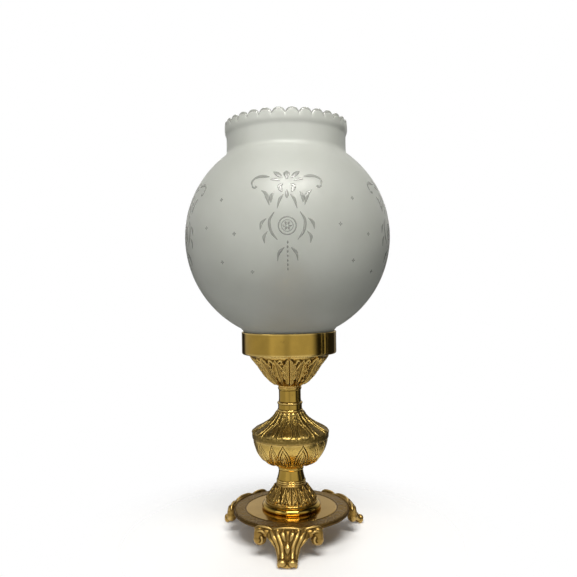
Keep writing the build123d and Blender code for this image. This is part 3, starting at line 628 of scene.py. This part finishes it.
bowl_outer = [
    (12.6, BOWL_LOW), (13.3, 77.2), (16.5, 78.4), (22.0, 79.7), (26.4, 81.6), (30.4, 84.2), (33.6, 88.0),
    (36.6, 92.8), (38.8, 97.2), (40.2, 101.6), (40.8, 105.0), (40.9, 107.3),
]
bowl_inner = [
    (39.0, 107.4), (38.0, 104.0), (35.0, 94.0), (28.0, 87.0), (26.0, 86.6), (BORE, 86.6), (BORE, BOWL_LOW),
]
# the bowl takes the lighter copy of the brass: painted light
lathe(
    "knop_bowl", "stand", "cast_brass", bowl_brass_painted_lit, fair(bowl_outer, 0.42), bowl_inner, "knop_lower",
    carve_bowl, 720,
)


def carve_dome(c):
    length = c.length
    for n in range(24):
        c.line([(7 + n * 15, 0.60 * length), (7 + n * 15, length - 0.6)], 0.62, 0.95)
    for n in range(13):
        at = -92 + n * 360 / 13
        c.leaf(at, 6.5, 0.74 * length, 5.8, 0.8, belly=0.24, veins=0.0, rim=0.5, sharp=0.7)
        c.leaf(at, 9.0, 0.52 * length, 3.2, 0.3, belly=0.30, veins=0.5, rim=0.3)
        c.line([(at + 13.8, 6.0), (at + 13.8, 0.40 * length), (at + 13.8, 0.62 * length)], 0.6, 0.9)
    c.grain(1, length - 1, 2, 0.06)


dome_outer = [
    (40.9, 107.4), (41.7, 107.7), (41.95, 109.6), (42.0, 112.4), (41.1, 114.8), (38.2, 117.0), (33.4, 119.5),
    (27.8, 122.6), (23.2, 125.8), (19.5, 129.2), (16.8, 132.4), (15.2, 135.2), (14.6, DOME_TOP),
]
dome_inner = [
    (BORE, DOME_TOP), (BORE, 133.0), (12.0, 133.0), (20.0, 126.0), (34.0, 116.0), (39.0, 111.0),
    (39.0, 107.5),
]
# the dome takes the darker copy of the brass: painted shade
lathe(
    "knop_dome", "stand", "cast_brass", dome_brass_painted_shade, fair(dome_outer, 0.4), dome_inner, "knop_upper",
    carve_dome, 720,
)

neck_outer = chain(
    [(13.0, DOME_TOP), (13.9, 136.3), (14.2, 137.3), (13.9, 138.3), (13.2, 138.7)],
    [(13.2, 138.7), (13.15, 141.5), (13.2, 144.2)],
    [(13.2, 144.2), (13.75, 144.5), (13.95, 145.4), (13.6, 146.3), (12.4, 146.9)],
    [(12.4, 146.9), (12.1, 150.0), (12.05, 155.0), (12.1, 159.4)],
    [(12.1, 159.4), (12.7, 160.3), (13.0, 161.6), (12.9, 162.6), (12.2, CUP_LOW)],
    step=0.3,
)
neck_inner = [(BORE, CUP_LOW), (BORE, DOME_TOP)]
lathe(
    "collar_neck", "stand", "polished_brass", smooth_brass, neck_outer, neck_inner, "neck_collar",
    columns=200, reach=1.0,
)


# ---- font cup ----
def carve_cup(c):
    length = c.length
    for n in range(8):
        at = -86.7 + n * 45
        c.leaf(at + 22.5, 3, 0.93 * length, 5.4, 1.7, belly=0.62, lobes=5, veins=0.6, rim=0.3)
        c.leaf(at, 1, 0.99 * length, 8.4, 2.6, belly=0.60, lobes=6, veins=0.8, rim=0.4)
        for hand in (-1, 1):
            scroll = [(6, 0.50), (13, 0.66), (18, 0.83), (13, 0.90), (10.5, 0.80)]
            c.line([(at + hand * turn, share * length) for turn, share in scroll], 1.1, 1.7)
    c.beads(16, 0.80 * length, 1.9, phase=12, height=0.9)
    c.flutes(24, 0, 0.16 * length, 0.5, soft=2)


cup_outer = [
    (12.4, CUP_LOW), (12.9, 164.4), (16.2, 167.2), (20.0, 170.2), (24.0, 174.2), (26.6, 177.4), (30.0, 182.4),
    (33.8, 188.0), (38.0, 192.8), (41.4, 197.2), (42.2, 199.4),
]
cup_inner = [
    (39.0, 199.45), (38.6, 197.0), (22.0, 171.6), (10.0, 171.4), (10.0, 166.0), (BORE, 166.0),
    (BORE, CUP_LOW),
]
lathe(
    "font_cup_cast", "stand", "cast_brass", cast_brass, fair(cup_outer, 0.4), cup_inner, "font_cup",
    carve_cup, 720, reach=1.8,
)

# ---- shade pan ----
PAN_LOW, PAN_R = 199.52, 51.85
pan_outer = chain(
    [(15.4, PAN_LOW), (49.0, PAN_LOW)],
    [(49.0, PAN_LOW), (50.9, 199.8), (51.7, 200.8), (PAN_R, 202.2)],
    [(PAN_R, 202.2), (PAN_R, 221.6)],
    [(PAN_R, 221.6), (51.95, 222.6), (51.8, 223.5), (51.3, 223.8), (50.8, 223.4), (50.7, 222.4)],
)
pan_inner = [(50.7, 202.0), (50.2, 201.0), (49.0, 200.75), (15.4, 200.75)]
lathe(
    "pan", "head", "polished_brass", smooth_brass, pan_outer, pan_inner, "shade_pan", columns=360, reach=1.2
)

# ---- burner, font and fasteners: CAD shapes with better finishes ----
SHEET_PARTS = (
    "font_bowl", "font_collar", "shade_seat", "burner_base", "wick_tube", "draft_tube", "shaft_bracket",
    "burner_basket", "burner_gallery", "raiser_wheels",
)
STEEL_PARTS = ("wick_shaft", "center_rod", "rod_nut_lower", "rod_nut_upper", "rod_washer", "foot_screws")
for mat, nodes in (
    (burner_brass, SHEET_PARTS),
    (smooth_brass, ("font_top",)),
    (knob_brass, ("wick_knob",)),
    (steel_mat, STEEL_PARTS),
    (wick_mat, ("wick",)),
):
    for node in nodes:
        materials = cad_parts[node].data.materials
        materials.clear()
        materials.append(mat)

CHIMNEY_WALL = 1.4
chimney_outer = fair(
    [
        (19.45, 284.95), (19.5, 329.0), (19.2, 333.0), (17.6, 337.5), (15.2, 341.5), (13.9, 346.0),
        (13.65, 352.0), (13.8, 444.8),
    ],
    1.5,
)
chimney_inner = [(r - CHIMNEY_WALL, z) for r, z in chimney_outer[::-1]]
lathe(
    "chimney_glass", "chimney", "clear_glass", chimney_mat, chimney_outer, chimney_inner, "chimney",
    columns=160,
)

# ---- frosted ball shade ----
BALL_Z, BALL_R, GLASS = 325.7, 111.15, 2.6
BALL_FROM, BALL_TO = math.asin(-98.0 / 111.2), math.asin(88.5 / 111.2)
FITTER_R, NECK_R = 48.4, 65.2
CRIMPS, CRIMP_DEPTH = 30, 5.2


def shade_profile(inset):
    """Half section from the fitter up to below the rim."""
    ball = BALL_R - inset
    arc = [(ball * math.cos(a), BALL_Z + ball * math.sin(a)) for a in np.linspace(BALL_FROM, BALL_TO, 60)]
    start = [(FITTER_R - inset, 213.05), (FITTER_R - inset, 222.0)]
    if inset:
        neck = [(NECK_R, 418.0 + inset), (NECK_R, 436.0), (66.0, 440.5), (66.9, 445.0)]
        neck = [(r - inset, z) for r, z in neck]
    else:
        neck = [(65.6, 417.4), (NECK_R, 421.0), (NECK_R, 434.6), (65.9, 437.4), (66.9, 440.6), (67.1, 446.0)]
    return np.vstack([fair(start + arc[:1], 3.0), fair(arc, 4.0)[1:], fair([arc[-1]] + neck, 1.6)[1:]])


def build_shade():
    columns = CRIMPS * 19
    outer, inner = shade_profile(0), shade_profile(GLASS)[::-1]
    rim = np.array([(67.0, 449.0), (66.6, 450.6), (65.7, 451.6), (64.9, 451.7), (64.3, 450.6), (64.2, 448.5)])
    rows = np.vstack([outer, rim, inner])
    theta = np.arange(columns) * TAU / columns
    phase = (theta * CRIMPS / TAU + 0.25) % 1.0
    lobe = (1 - np.abs(2 * phase - 1) ** 2.2) ** 0.62
    drop = CRIMP_DEPTH * (1 - lobe)
    near = step_up(rows[:, 1], 438.0, 449.5)[:, None]
    crimp = step_up(rows[:, 1], 443.0, 450.0)[:, None]
    r = rows[:, 0][:, None] - crimp * 0.8 * (1 - lobe)[None, :]
    z = rows[:, 1][:, None] - near * drop[None, :]
    verts = np.stack([r * np.cos(theta), r * np.sin(theta), z], -1).reshape(-1, 3) * MM
    obj = mesh_object("shade_glass", verts, grid_faces(len(rows), columns, wrap_rows=True))
    place(obj, "shade", "frosted_glass", frost_mat, "shade")
    # the fire-polished edge of the lobes is clear
    obj.data.materials.append(etch_mat)
    clear_rows = 4
    first = len(outer) * columns
    for face in obj.data.polygons[first : first + clear_rows * columns]:
        face.material_index = 1


build_shade()


# ---- etched ornament: thin clear shapes on the frosted ball ----
def stroke(points, widths, across=5):
    """A leaf-like strip on the flat: rows of points across a centre line."""
    line = fair(points, 0.8)
    t = np.linspace(0, 1, len(line))
    half = np.interp(t, np.linspace(0, 1, len(widths)), widths)
    tangent = np.gradient(line, axis=0)
    tangent /= np.maximum(np.linalg.norm(tangent, axis=1), 1e-9)[:, None]
    normal = np.stack([-tangent[:, 1], tangent[:, 0]], axis=1)
    k = np.linspace(-1, 1, across)
    return line[:, None, :] + normal[:, None, :] * half[:, None, None] * k[None, :, None]


def both_sides(points, widths):
    return [stroke(points, widths), stroke([(-x, y) for x, y in points], widths)]


def ring(x, y, radius, half):
    a = np.linspace(0, TAU, 41)
    return stroke([(x + radius * math.cos(v), y + radius * math.sin(v)) for v in a], [half, half], 3)


# the flower and leaf pattern, in mm from its middle; both_sides mirrors a leaf to the right
MOTIF = [stroke([(0, -1), (0, 4), (0, 9)], [0.7, 1.5, 2.8, 3.0, 0.6])]
for tip, root, w in (
    ((-12.4, 8.2), (-4.2, 0.6), 2.3),
    ((-15.6, -0.8), (-6.6, -2.4), 1.3),
    ((-8.6, -10.5), (-3.4, -6.2), 1.5),
):
    mid = (0.5 * (tip[0] + root[0]) - 0.4, 0.5 * (tip[1] + root[1]) + 0.9)
    MOTIF += both_sides([root, mid, tip], [0.4, 0.8 * w, w, 0.9 * w, 0.3])
LEAVES = (
    (
        [(-16, 2.4), (-23.9, 3.3), (-30, 1.5), (-33.2, -2.4), (-33.0, -7.7)],
        [0.5, 1.5, 1.6, 1.2, 0.9, 1.0, 0.3],
    ),
    ([(-33.0, -7.7), (-30.6, -9.4), (-28.8, -7.4)], [0.9, 0.8, 1.3]),
    ([(-24.0, -12.2), (-19.4, -16.4), (-16.6, -27.5)], [0.3, 1.6, 2.1, 1.2, 0.2]),
    ([(-12, -14.0), (-14.8, -19.2), (-15.0, -25)], [0.2, 1.4, 1.7, 0.2]),
    ([(-5.2, -8.0), (-6.0, -11.5), (-4.4, -14.6)], [0.4, 2.1, 0.4]),
    ([(-3.2, -17), (-6.8, -22), (-9.4, -31)], [0.3, 1.4, 1.0, 0.2]),
    ([(-12, -34), (-16.5, -42), (-15.2, -52), (-9.5, -60)], [0.3, 1.2, 1.3, 1.2, 0.3]),
    ([(-19.5, -40), (-24, -44), (-25.5, -50)], [0.2, 1.6, 0.3]),
    ([(-18.5, -52), (-22, -57), (-21.5, -63)], [0.2, 1.5, 0.3]),
)
for points, widths in LEAVES:
    MOTIF += both_sides(points, widths)
ROSE_Y = -47
MOTIF += [stroke([(0, -12), (0, -16), (0, -21)], [0.3, 1.5, 1.9, 0.3])]
MOTIF += [ring(0, ROSE_Y, 8.2, 0.55), ring(0, ROSE_Y, 5.4, 0.3)]
for petal in range(6):
    a = TAU * petal / 6
    along = [(size * math.cos(a), ROSE_Y + size * math.sin(a)) for size in (1.0, 2.7, 4.4)]
    MOTIF.append(stroke(along, [0.2, 1.1, 0.9, 0.2], 3))
for bead in range(7):
    along = [(0, y - 4.2 * bead) for y in (-61, -62.4, -63.8)]
    MOTIF.append(stroke(along, [0.3, 1.25 - 0.1 * bead, 0.3], 3))
MOTIF += both_sides([(-3, -67), (-8, -72), (-9.5, -80)], [0.2, 1.5, 0.9, 0.2])
SPRIG = []
for petal in range(4):
    a = TAU * petal / 4
    along = [(size * math.cos(a), size * math.sin(a)) for size in (0.4, 2.1)]
    SPRIG.append(stroke(along, [0.35, 0.55, 0.1], 3))


ETCH_PROUD, ETCH_THICK = 0.06, 0.05


def etch(name, shapes, at, height):
    """Lays flat shapes on the ball, their origin at that turn about the axis and that height in mm."""
    radius = BALL_R + ETCH_PROUD
    lift = math.asin((height - BALL_Z) / BALL_R)
    verts, faces = [], []
    for shape in shapes:
        rows, cols = shape.shape[:2]
        x, y = shape[..., 0].ravel(), shape[..., 1].ravel()
        up = lift + y / radius
        turn = at + x / (radius * np.cos(up))
        start = len(verts)
        flat = radius * np.cos(up)
        z = BALL_Z + radius * np.sin(up)
        verts += np.stack([flat * np.cos(turn), flat * np.sin(turn), z], -1).tolist()
        faces += grid_faces(rows, cols, wrap_cols=False, start=start).tolist()
    obj = mesh_object(name, np.array(verts) * MM, faces)
    thick = obj.modifiers.new("thickness", "SOLIDIFY")
    thick.thickness = ETCH_THICK * MM
    thick.offset = -1
    place(obj, "shade", "frosted_glass", etch_mat)


FRONT = -0.5 * math.pi + CAMERA_TURN  # one pattern faces the camera
MOTIFS, MOTIF_Z = 5, 373.3
SPRIGS = ((0.0, 356), (-0.16, 330), (0.16, 322), (0.0, 296), (0.30, 286))  # turn in radians, height in mm
for n in range(MOTIFS):
    etch(f"etched_motif_{n + 1}", MOTIF, FRONT + n * TAU / MOTIFS, MOTIF_Z)
    between = FRONT + (n + 0.5) * TAU / MOTIFS
    for k, (turn, height) in enumerate(SPRIGS):
        etch(f"etched_sprig_{n + 1}_{k + 1}", SPRIG, between + turn, height)


# ---- feet ----
class Clay:
    """Closed lumps that a voxel remesh melts into one casting."""

    def __init__(self):
        self.verts, self.faces = [], []

    def add(self, verts, faces):
        start = len(self.verts)
        self.verts += np.asarray(verts, float).reshape(-1, 3).tolist()
        self.faces += [[i + start for i in face] for face in faces]

    def tube(self, points, radii, flat=1.0, sides=12):
        """A tapered rounded tube; flat thins it front to back."""
        line = fair(points, 0.7)
        t = np.linspace(0, 1, len(line))
        radius = np.interp(t, np.linspace(0, 1, len(radii)), radii)
        radius = radius * np.sqrt(np.clip(1 - (2 * t - 1) ** 12, 0.02, 1))
        tangent = np.gradient(line, axis=0)
        tangent /= np.linalg.norm(tangent, axis=1)[:, None]
        side = np.cross(tangent, np.array([0.0, -1.0, 0.35]))
        side /= np.maximum(np.linalg.norm(side, axis=1), 1e-6)[:, None]
        front = np.cross(side, tangent)
        a = np.arange(sides) * TAU / sides
        verts = (
            line[:, None, :]
            + radius[:, None, None] * np.cos(a)[None, :, None] * side[:, None, :]
            + flat * radius[:, None, None] * np.sin(a)[None, :, None] * front[:, None, :]
        )
        faces = grid_faces(len(line), sides).tolist()
        faces += [list(range(sides))[::-1], [(len(line) - 1) * sides + k for k in range(sides)]]
        self.add(verts, faces)

    def blob(self, center, radii, rows=14, cols=20):
        up = np.linspace(-0.5 * math.pi, 0.5 * math.pi, rows + 2)[1:-1]
        turn = np.arange(cols) * TAU / cols
        x = np.cos(up)[:, None] * np.cos(turn)[None, :] * radii[0] + center[0]
        y = np.cos(up)[:, None] * np.sin(turn)[None, :] * radii[1] + center[1]
        z = np.sin(up)[:, None] * np.ones(cols)[None, :] * radii[2] + center[2]
        faces = grid_faces(rows, cols).tolist()
        faces += [list(range(cols))[::-1], [(rows - 1) * cols + k for k in range(cols)]]
        self.add(np.stack([x, y, z], -1), faces)

    def cast(self, name, voxel):
        obj = mesh_object(name + "_clay", np.array(self.verts) * MM, self.faces)
        bm = bmesh.new()
        bm.from_mesh(obj.data)
        bmesh.ops.recalc_face_normals(bm, faces=bm.faces)
        bm.to_mesh(obj.data)
        bm.free()
        melt = obj.modifiers.new("melt", "REMESH")
        melt.mode = "VOXEL"
        melt.voxel_size = voxel * MM
        soften = obj.modifiers.new("soften", "SMOOTH")
        soften.factor = 0.5
        soften.iterations = 3
        done = bpy.data.meshes.new_from_object(obj.evaluated_get(bpy.context.evaluated_depsgraph_get()))
        bpy.data.objects.remove(obj)
        done.name = name
        return done


# the front leg from the plate to the toe: (y, z) along its middle, and its width and thickness there
LEG_LINE = [
    (-64.6, 29.0), (-67.4, 26.2), (-70.6, 21.4), (-73.6, 16.4), (-76.8, 10.8), (-80.8, 6.2), (-85.4, 3.4),
]
LEG_WIDTH = [40.0, 42.0, 37.0, 26.4, 22.4, 20.6, 20.0]
LEG_THICK = [5.6, 6.0, 6.2, 6.0, 5.8, 5.8, 6.0]
leg_line = fair(LEG_LINE, 0.6)
leg_v = np.linspace(0, 1, len(leg_line))
leg_width = fair(list(enumerate(LEG_WIDTH)), 0.05)
leg_width = np.interp(6 * leg_v, leg_width[:, 0], leg_width[:, 1])
leg_thick = np.interp(leg_v, np.linspace(0, 1, 7), LEG_THICK)
APRON_R = 66.2  # the part of a foot that wraps the plate's rim
SCROLL_X, SCROLL_Z, SCROLL_R = 28.4, 20.6, 6.3


def on_leg(x, v, proud=0.0):
    """A point on the front of the leg: x sideways in mm, v from 0 at the plate to 1 at the toe."""
    k = v * (len(leg_line) - 1)
    i = int(min(max(k, 0), len(leg_line) - 2))
    y, z = leg_line[i] + (leg_line[i + 1] - leg_line[i]) * (k - i)
    dy, dz = leg_line[i + 1] - leg_line[i]
    size = math.hypot(dy, dz)
    half = 0.5 * np.interp(v, leg_v, leg_width)
    out = 0.5 * np.interp(v, leg_v, leg_thick) * math.sqrt(max(0.0, 1 - min(1, abs(x) / half) ** 4)) + proud
    return (x, y + (APRON_R + rim_y(x)) + out * dz / size, z - out * dy / size)


def rim_y(x):
    """The apron's y at that distance sideways."""
    return -math.sqrt(APRON_R**2 - x**2)


def on_rim(x, z, proud=0.0):
    """A point on the apron, x sideways in mm."""
    turn = math.asin(x / APRON_R)
    return ((APRON_R + proud) * math.sin(turn), -(APRON_R + proud) * math.cos(turn), z)


def model_foot():
    """The front foot's mesh: a broad leg under an apron with a scroll on each side."""
    clay = Clay()
    rows, sides = len(leg_line), 44
    tangent = np.gradient(leg_line, axis=0)
    tangent /= np.linalg.norm(tangent, axis=1)[:, None]
    a = np.arange(sides) * TAU / sides
    cx = np.sign(np.cos(a)) * np.abs(np.cos(a)) ** 0.6
    cn = np.sign(np.sin(a)) * np.abs(np.sin(a)) ** 0.7
    x = 0.5 * leg_width[:, None] * cx[None, :]
    n = 0.5 * leg_thick[:, None] * cn[None, :]
    y = leg_line[:, 0][:, None] + n * tangent[:, 1][:, None] + APRON_R - np.sqrt(APRON_R**2 - x**2)
    z = leg_line[:, 1][:, None] - n * tangent[:, 0][:, None]
    faces = grid_faces(rows, sides).tolist()
    faces += [list(range(sides))[::-1], [(rows - 1) * sides + k for k in range(sides)]]
    clay.add(np.stack([x, y, z], -1), faces)
    # toe: flat sole, two beads with a groove between
    clay.blob((0, -83.8, 2.6), (10.0, 4.8, 2.6))
    for hand in (-1, 1):
        clay.blob((hand * 4.9, -86.0, 5.2), (4.4, 3.6, 3.7))
        clay.blob((hand * 8.2, -84.2, 3.4), (2.0, 3.6, 3.3))

    def rib(points, radii, hand=1):
        clay.tube([on_leg(hand * px, pv, proud) for px, pv, proud in points], radii, 0.8)

    # leaf down the leg: a drop in the middle, petals that close on it, and ridges along the sides
    rib([(0, 0.34, 0.2), (0, 0.46, 0.7), (0, 0.60, 0.6), (0, 0.74, -0.4)], [0.5, 1.8, 2.9, 1.9, 0.5])
    side_ribs = (
        ([(5.2, 0.04, 0.0), (4.6, 0.18, 0.6), (2.4, 0.36, 0.1)], [0.9, 2.6, 2.2, 0.7]),
        (
            [(12.0, 0.02, 0.0), (9.2, 0.22, 0.3), (5.8, 0.46, 0.3), (4.9, 0.70, 0.0), (4.9, 0.92, 0.2)],
            [1.0, 2.5, 2.1, 1.9, 2.1],
        ),
        ([(18.0, 0.05, 0.0), (13.4, 0.26, 0.3), (9.6, 0.48, -0.2), (8.3, 0.74, -0.3)], [1.0, 2.3, 1.8, 0.9]),
        ([(20.8, 0.20, -0.4), (15.8, 0.36, -0.2), (11.6, 0.52, -0.6)], [0.8, 1.6, 1.3, 0.7]),
    )
    lobes = ((28.4, 25.0, (6.4, 4.2, 6.2)), (28.6, 22.2, (6.5, 5.0, 8.2)), (28.8, 18.8, (6.6, 5.2, 6.4)))
    for hand in (-1, 1):
        for points, radii in side_ribs:
            rib(points, radii, hand)
        clay.blob((hand * 20.5, rim_y(20.5) + 0.4, 25.4), (6.5, 3.6, 4.6))
        # the scroll: a fat lobe rolled under, with a raised spiral
        for px, pz, size in lobes:
            clay.blob((hand * px, rim_y(px) - 0.6, pz), size)
        spiral = []
        for k in range(15):
            turn = 2.5 - k * 0.50
            size = SCROLL_R * (1 - k / 18)
            px = SCROLL_X + size * math.cos(turn)
            py = rim_y(px) - 4.0 - 0.30 * (SCROLL_R - size)
            spiral.append((hand * px, py, SCROLL_Z + 1.32 * size * math.sin(turn)))
        clay.tube(spiral, [1.0, 1.3, 1.2, 1.0, 1.5], 1.0)
        # web between the scroll and the leg
        web = [on_rim(hand * px, pz) for px, pz in ((10, 26.6), (17, 26.2), (25, 25.6))]
        clay.tube(web, [5.2, 4.8, 4.6], 0.50)
        ridge = ((15, 22.8, 0.6), (20, 23.2, 1.2), (26, 25.4, 1.6))
        ridge = [on_rim(hand * px, pz, proud) for px, pz, proud in ridge]
        clay.tube(ridge, [1.2, 1.6, 1.2], 0.8)
    clay.tube([on_rim(px, 27.0) for px in (-18, -9, 0, 9, 18)], [4.6, 5.0, 4.6], 0.46)
    # wavy top edge of the leaf, standing before the plate's rim
    for edge in (
        ((-15.6, 29.4), (-12.5, 31.0), (-6.5, 32.0), (0, 32.3), (6.5, 32.0), (12.5, 31.0), (15.6, 29.4)),
        ((15.2, 29.4), (19.0, 31.2), (25.0, 31.9), (30.5, 31.2), (34.6, 27.6)),
        ((-15.2, 29.4), (-19.0, 31.2), (-25.0, 31.9), (-30.5, 31.2), (-34.6, 27.6)),
    ):
        clay.tube([on_rim(px, pz - 0.6, 0.4) for px, pz in edge], [0.9, 1.35, 1.4, 1.35, 0.9], 1.1)
    for px in (-4.4, 4.4, -10.6, 10.6):
        fold = [on_rim(px, 31.4, 0.9), on_rim(0.9 * px, 28.6, 2.0), on_rim(0.8 * px, 26.0, 2.0)]
        clay.tube(fold, [0.8, 1.5, 0.9], 0.8)
    # lug under the plate
    for px in (-9, 0, 9):
        clay.blob((px, -58.5, 24.6), (8.0, 8.0, 1.4))
    return clay.cast("foot", 0.42)


foot_mesh = model_foot()
for node, turned_by in (("foot_front", 0), ("foot_right", 120), ("foot_left", 240)):
    mesh = foot_mesh.copy()
    mesh.transform(Matrix.Rotation(math.radians(turned_by), 4, "Z"))
    obj = bpy.data.objects.new(node + "_cast", mesh)
    bpy.context.scene.collection.objects.link(obj)
    mesh.shade_smooth()
    recess(obj, 1.4, 2.4)
    place(obj, "stand", "cast_brass", foot_brass, node)


# ---- floor, world and lights ----
def build_floor():
    """A pale round table top, which fades out softly all round."""
    count = 96
    ring_at = (1e-6, 0.12, 0.27)
    turn = np.arange(count) * TAU / count
    verts = [(r * math.cos(t), r * math.sin(t), -0.0002) for r in ring_at for t in turn]
    floor = mesh_object("floor", verts, grid_faces(len(ring_at), count))
    n = Nodes("floor")
    n.set(Base_Color=(0.97, 0.97, 0.97, 1.0), Roughness=0.7, Specular_IOR_Level=0.2)
    gone = n.tree.nodes.new("ShaderNodeBsdfTransparent")
    n.blend(n.ramp(n.length(n.coord), 0.03, 0.26), n.shader, gone)
    floor.data.materials.append(n.mat)


def build_world():
    """A white backdrop for the camera. Reflections see a dim room of soft upright panels and a back wall."""
    world = bpy.data.worlds.new("studio")
    bpy.context.scene.world = world
    world.use_nodes = True
    tree = world.node_tree
    tree.nodes.clear()
    out = tree.nodes.new("ShaderNodeOutputWorld")
    coord = tree.nodes.new("ShaderNodeTexCoord")
    split = tree.nodes.new("ShaderNodeSeparateXYZ")
    tree.links.new(coord.outputs["Generated"], split.inputs[0])

    def ramp(value, low, high, a, b):
        node = tree.nodes.new("ShaderNodeMapRange")
        node.interpolation_type = "SMOOTHSTEP"
        for key, v in zip(("From Min", "From Max", "To Min", "To Max"), (low, high, a, b)):
            node.inputs[key].default_value = v
        tree.links.new(value, node.inputs["Value"])
        return node.outputs[0]

    def combine(kind, a, b):
        node = tree.nodes.new("ShaderNodeMath")
        node.operation = kind
        tree.links.new(a, node.inputs[0])
        tree.links.new(b, node.inputs[1])
        return node.outputs[0]

    across, deep, up = split.outputs
    # round the horizon: angle from straight in front of the lamp, positive to the right
    turn = tree.nodes.new("ShaderNodeMath")
    turn.operation = "ARCTAN2"
    front = tree.nodes.new("ShaderNodeMath")
    front.operation = "MULTIPLY"
    front.inputs[1].default_value = -1.0
    tree.links.new(deep, front.inputs[0])
    tree.links.new(across, turn.inputs[0])
    tree.links.new(front.outputs[0], turn.inputs[1])
    angle = turn.outputs[0]
    level = ramp(up, 0.25, 0.80, 1.0, WORLD_ZENITH)

    def panel(start, end, strength, soft=3.0):
        """A soft-edged upright panel of the room between two angles."""
        rise = ramp(angle, math.radians(start), math.radians(start + soft), 0.0, strength)
        fall = ramp(angle, math.radians(end - soft), math.radians(end), 1.0, 0.0)
        return combine("MULTIPLY", rise, fall)

    room = panel(*ROOM[0])
    for part in ROOM[1:]:
        room = combine("ADD", room, panel(*part))
    behind = ramp(deep, 0.35, 0.75, 0.0, BACK_WALL)
    room = combine("ADD", room, combine("MULTIPLY", behind, ramp(up, 0.06, 0.16, 0.0, 1.0)))
    dim = tree.nodes.new("ShaderNodeBackground")
    dim.inputs["Color"].default_value = (1.0, 0.985, 0.955, 1)
    tree.links.new(combine("MULTIPLY", level, room), dim.inputs["Strength"])
    seen = tree.nodes.new("ShaderNodeBackground")
    seen.inputs["Color"].default_value = (1, 1, 1, 1)
    seen.inputs["Strength"].default_value = BACKDROP
    path = tree.nodes.new("ShaderNodeLightPath")
    mixer = tree.nodes.new("ShaderNodeMixShader")
    for source, socket in zip((path.outputs["Is Camera Ray"], dim.outputs[0], seen.outputs[0]), mixer.inputs):
        tree.links.new(source, socket)
    tree.links.new(mixer.outputs[0], out.inputs["Surface"])


def softbox(name, at, target, size, power, color=(1, 1, 1)):
    light = bpy.data.lights.new(name, "AREA")
    light.shape = "RECTANGLE"
    light.size, light.size_y = size
    light.energy = power
    light.color = color
    obj = bpy.data.objects.new(name, light)
    bpy.context.scene.collection.objects.link(obj)
    obj.location = at
    obj.rotation_euler = (Vector(target) - Vector(at)).to_track_quat("-Z", "Y").to_euler()


WORLD_ZENITH = 0.12  # brightness of the room overhead, against 1 at the level of the lamp
# upright panels of the room: from and to, in degrees round the lamp from the front, positive to the right,
# then strength and softness of the edges in degrees
ROOM = (
    (-181, 181, 0.02, 0.5),
    (-176, -148, 0.16, 6),
    (-138, -26, 0.46, 18),
    (-50, 78, 0.60, 24),
    (-15, 12, -0.16, 12),
    (86, 90, 0.30, 1.5),
    (96, 102, 0.42, 2),
    (108, 110, 0.20, 1),
    (143, 181, 0.17, 5),
)
BACK_WALL = 0.52  # beyond the lamp, seen in the flat of the plate
BACKDROP = 1.0  # what the camera sees behind the lamp
build_floor()
build_world()
softbox("key", (0.12, -0.80, 1.35), (0, 0, 0.30), (0.9, 0.45), 22, (1.0, 0.98, 0.94))
softbox("left_fill", (-0.95, -0.75, 0.75), (0, 0, 0.2), (0.5, 0.8), 1.2)
softbox("back_top", (0.0, 0.75, 1.4), (0, 0, 0.35), (0.7, 0.5), 5)

view = bpy.context.scene.view_settings
view.view_transform = "Standard"
view.look = "None"
view.exposure = 0.0
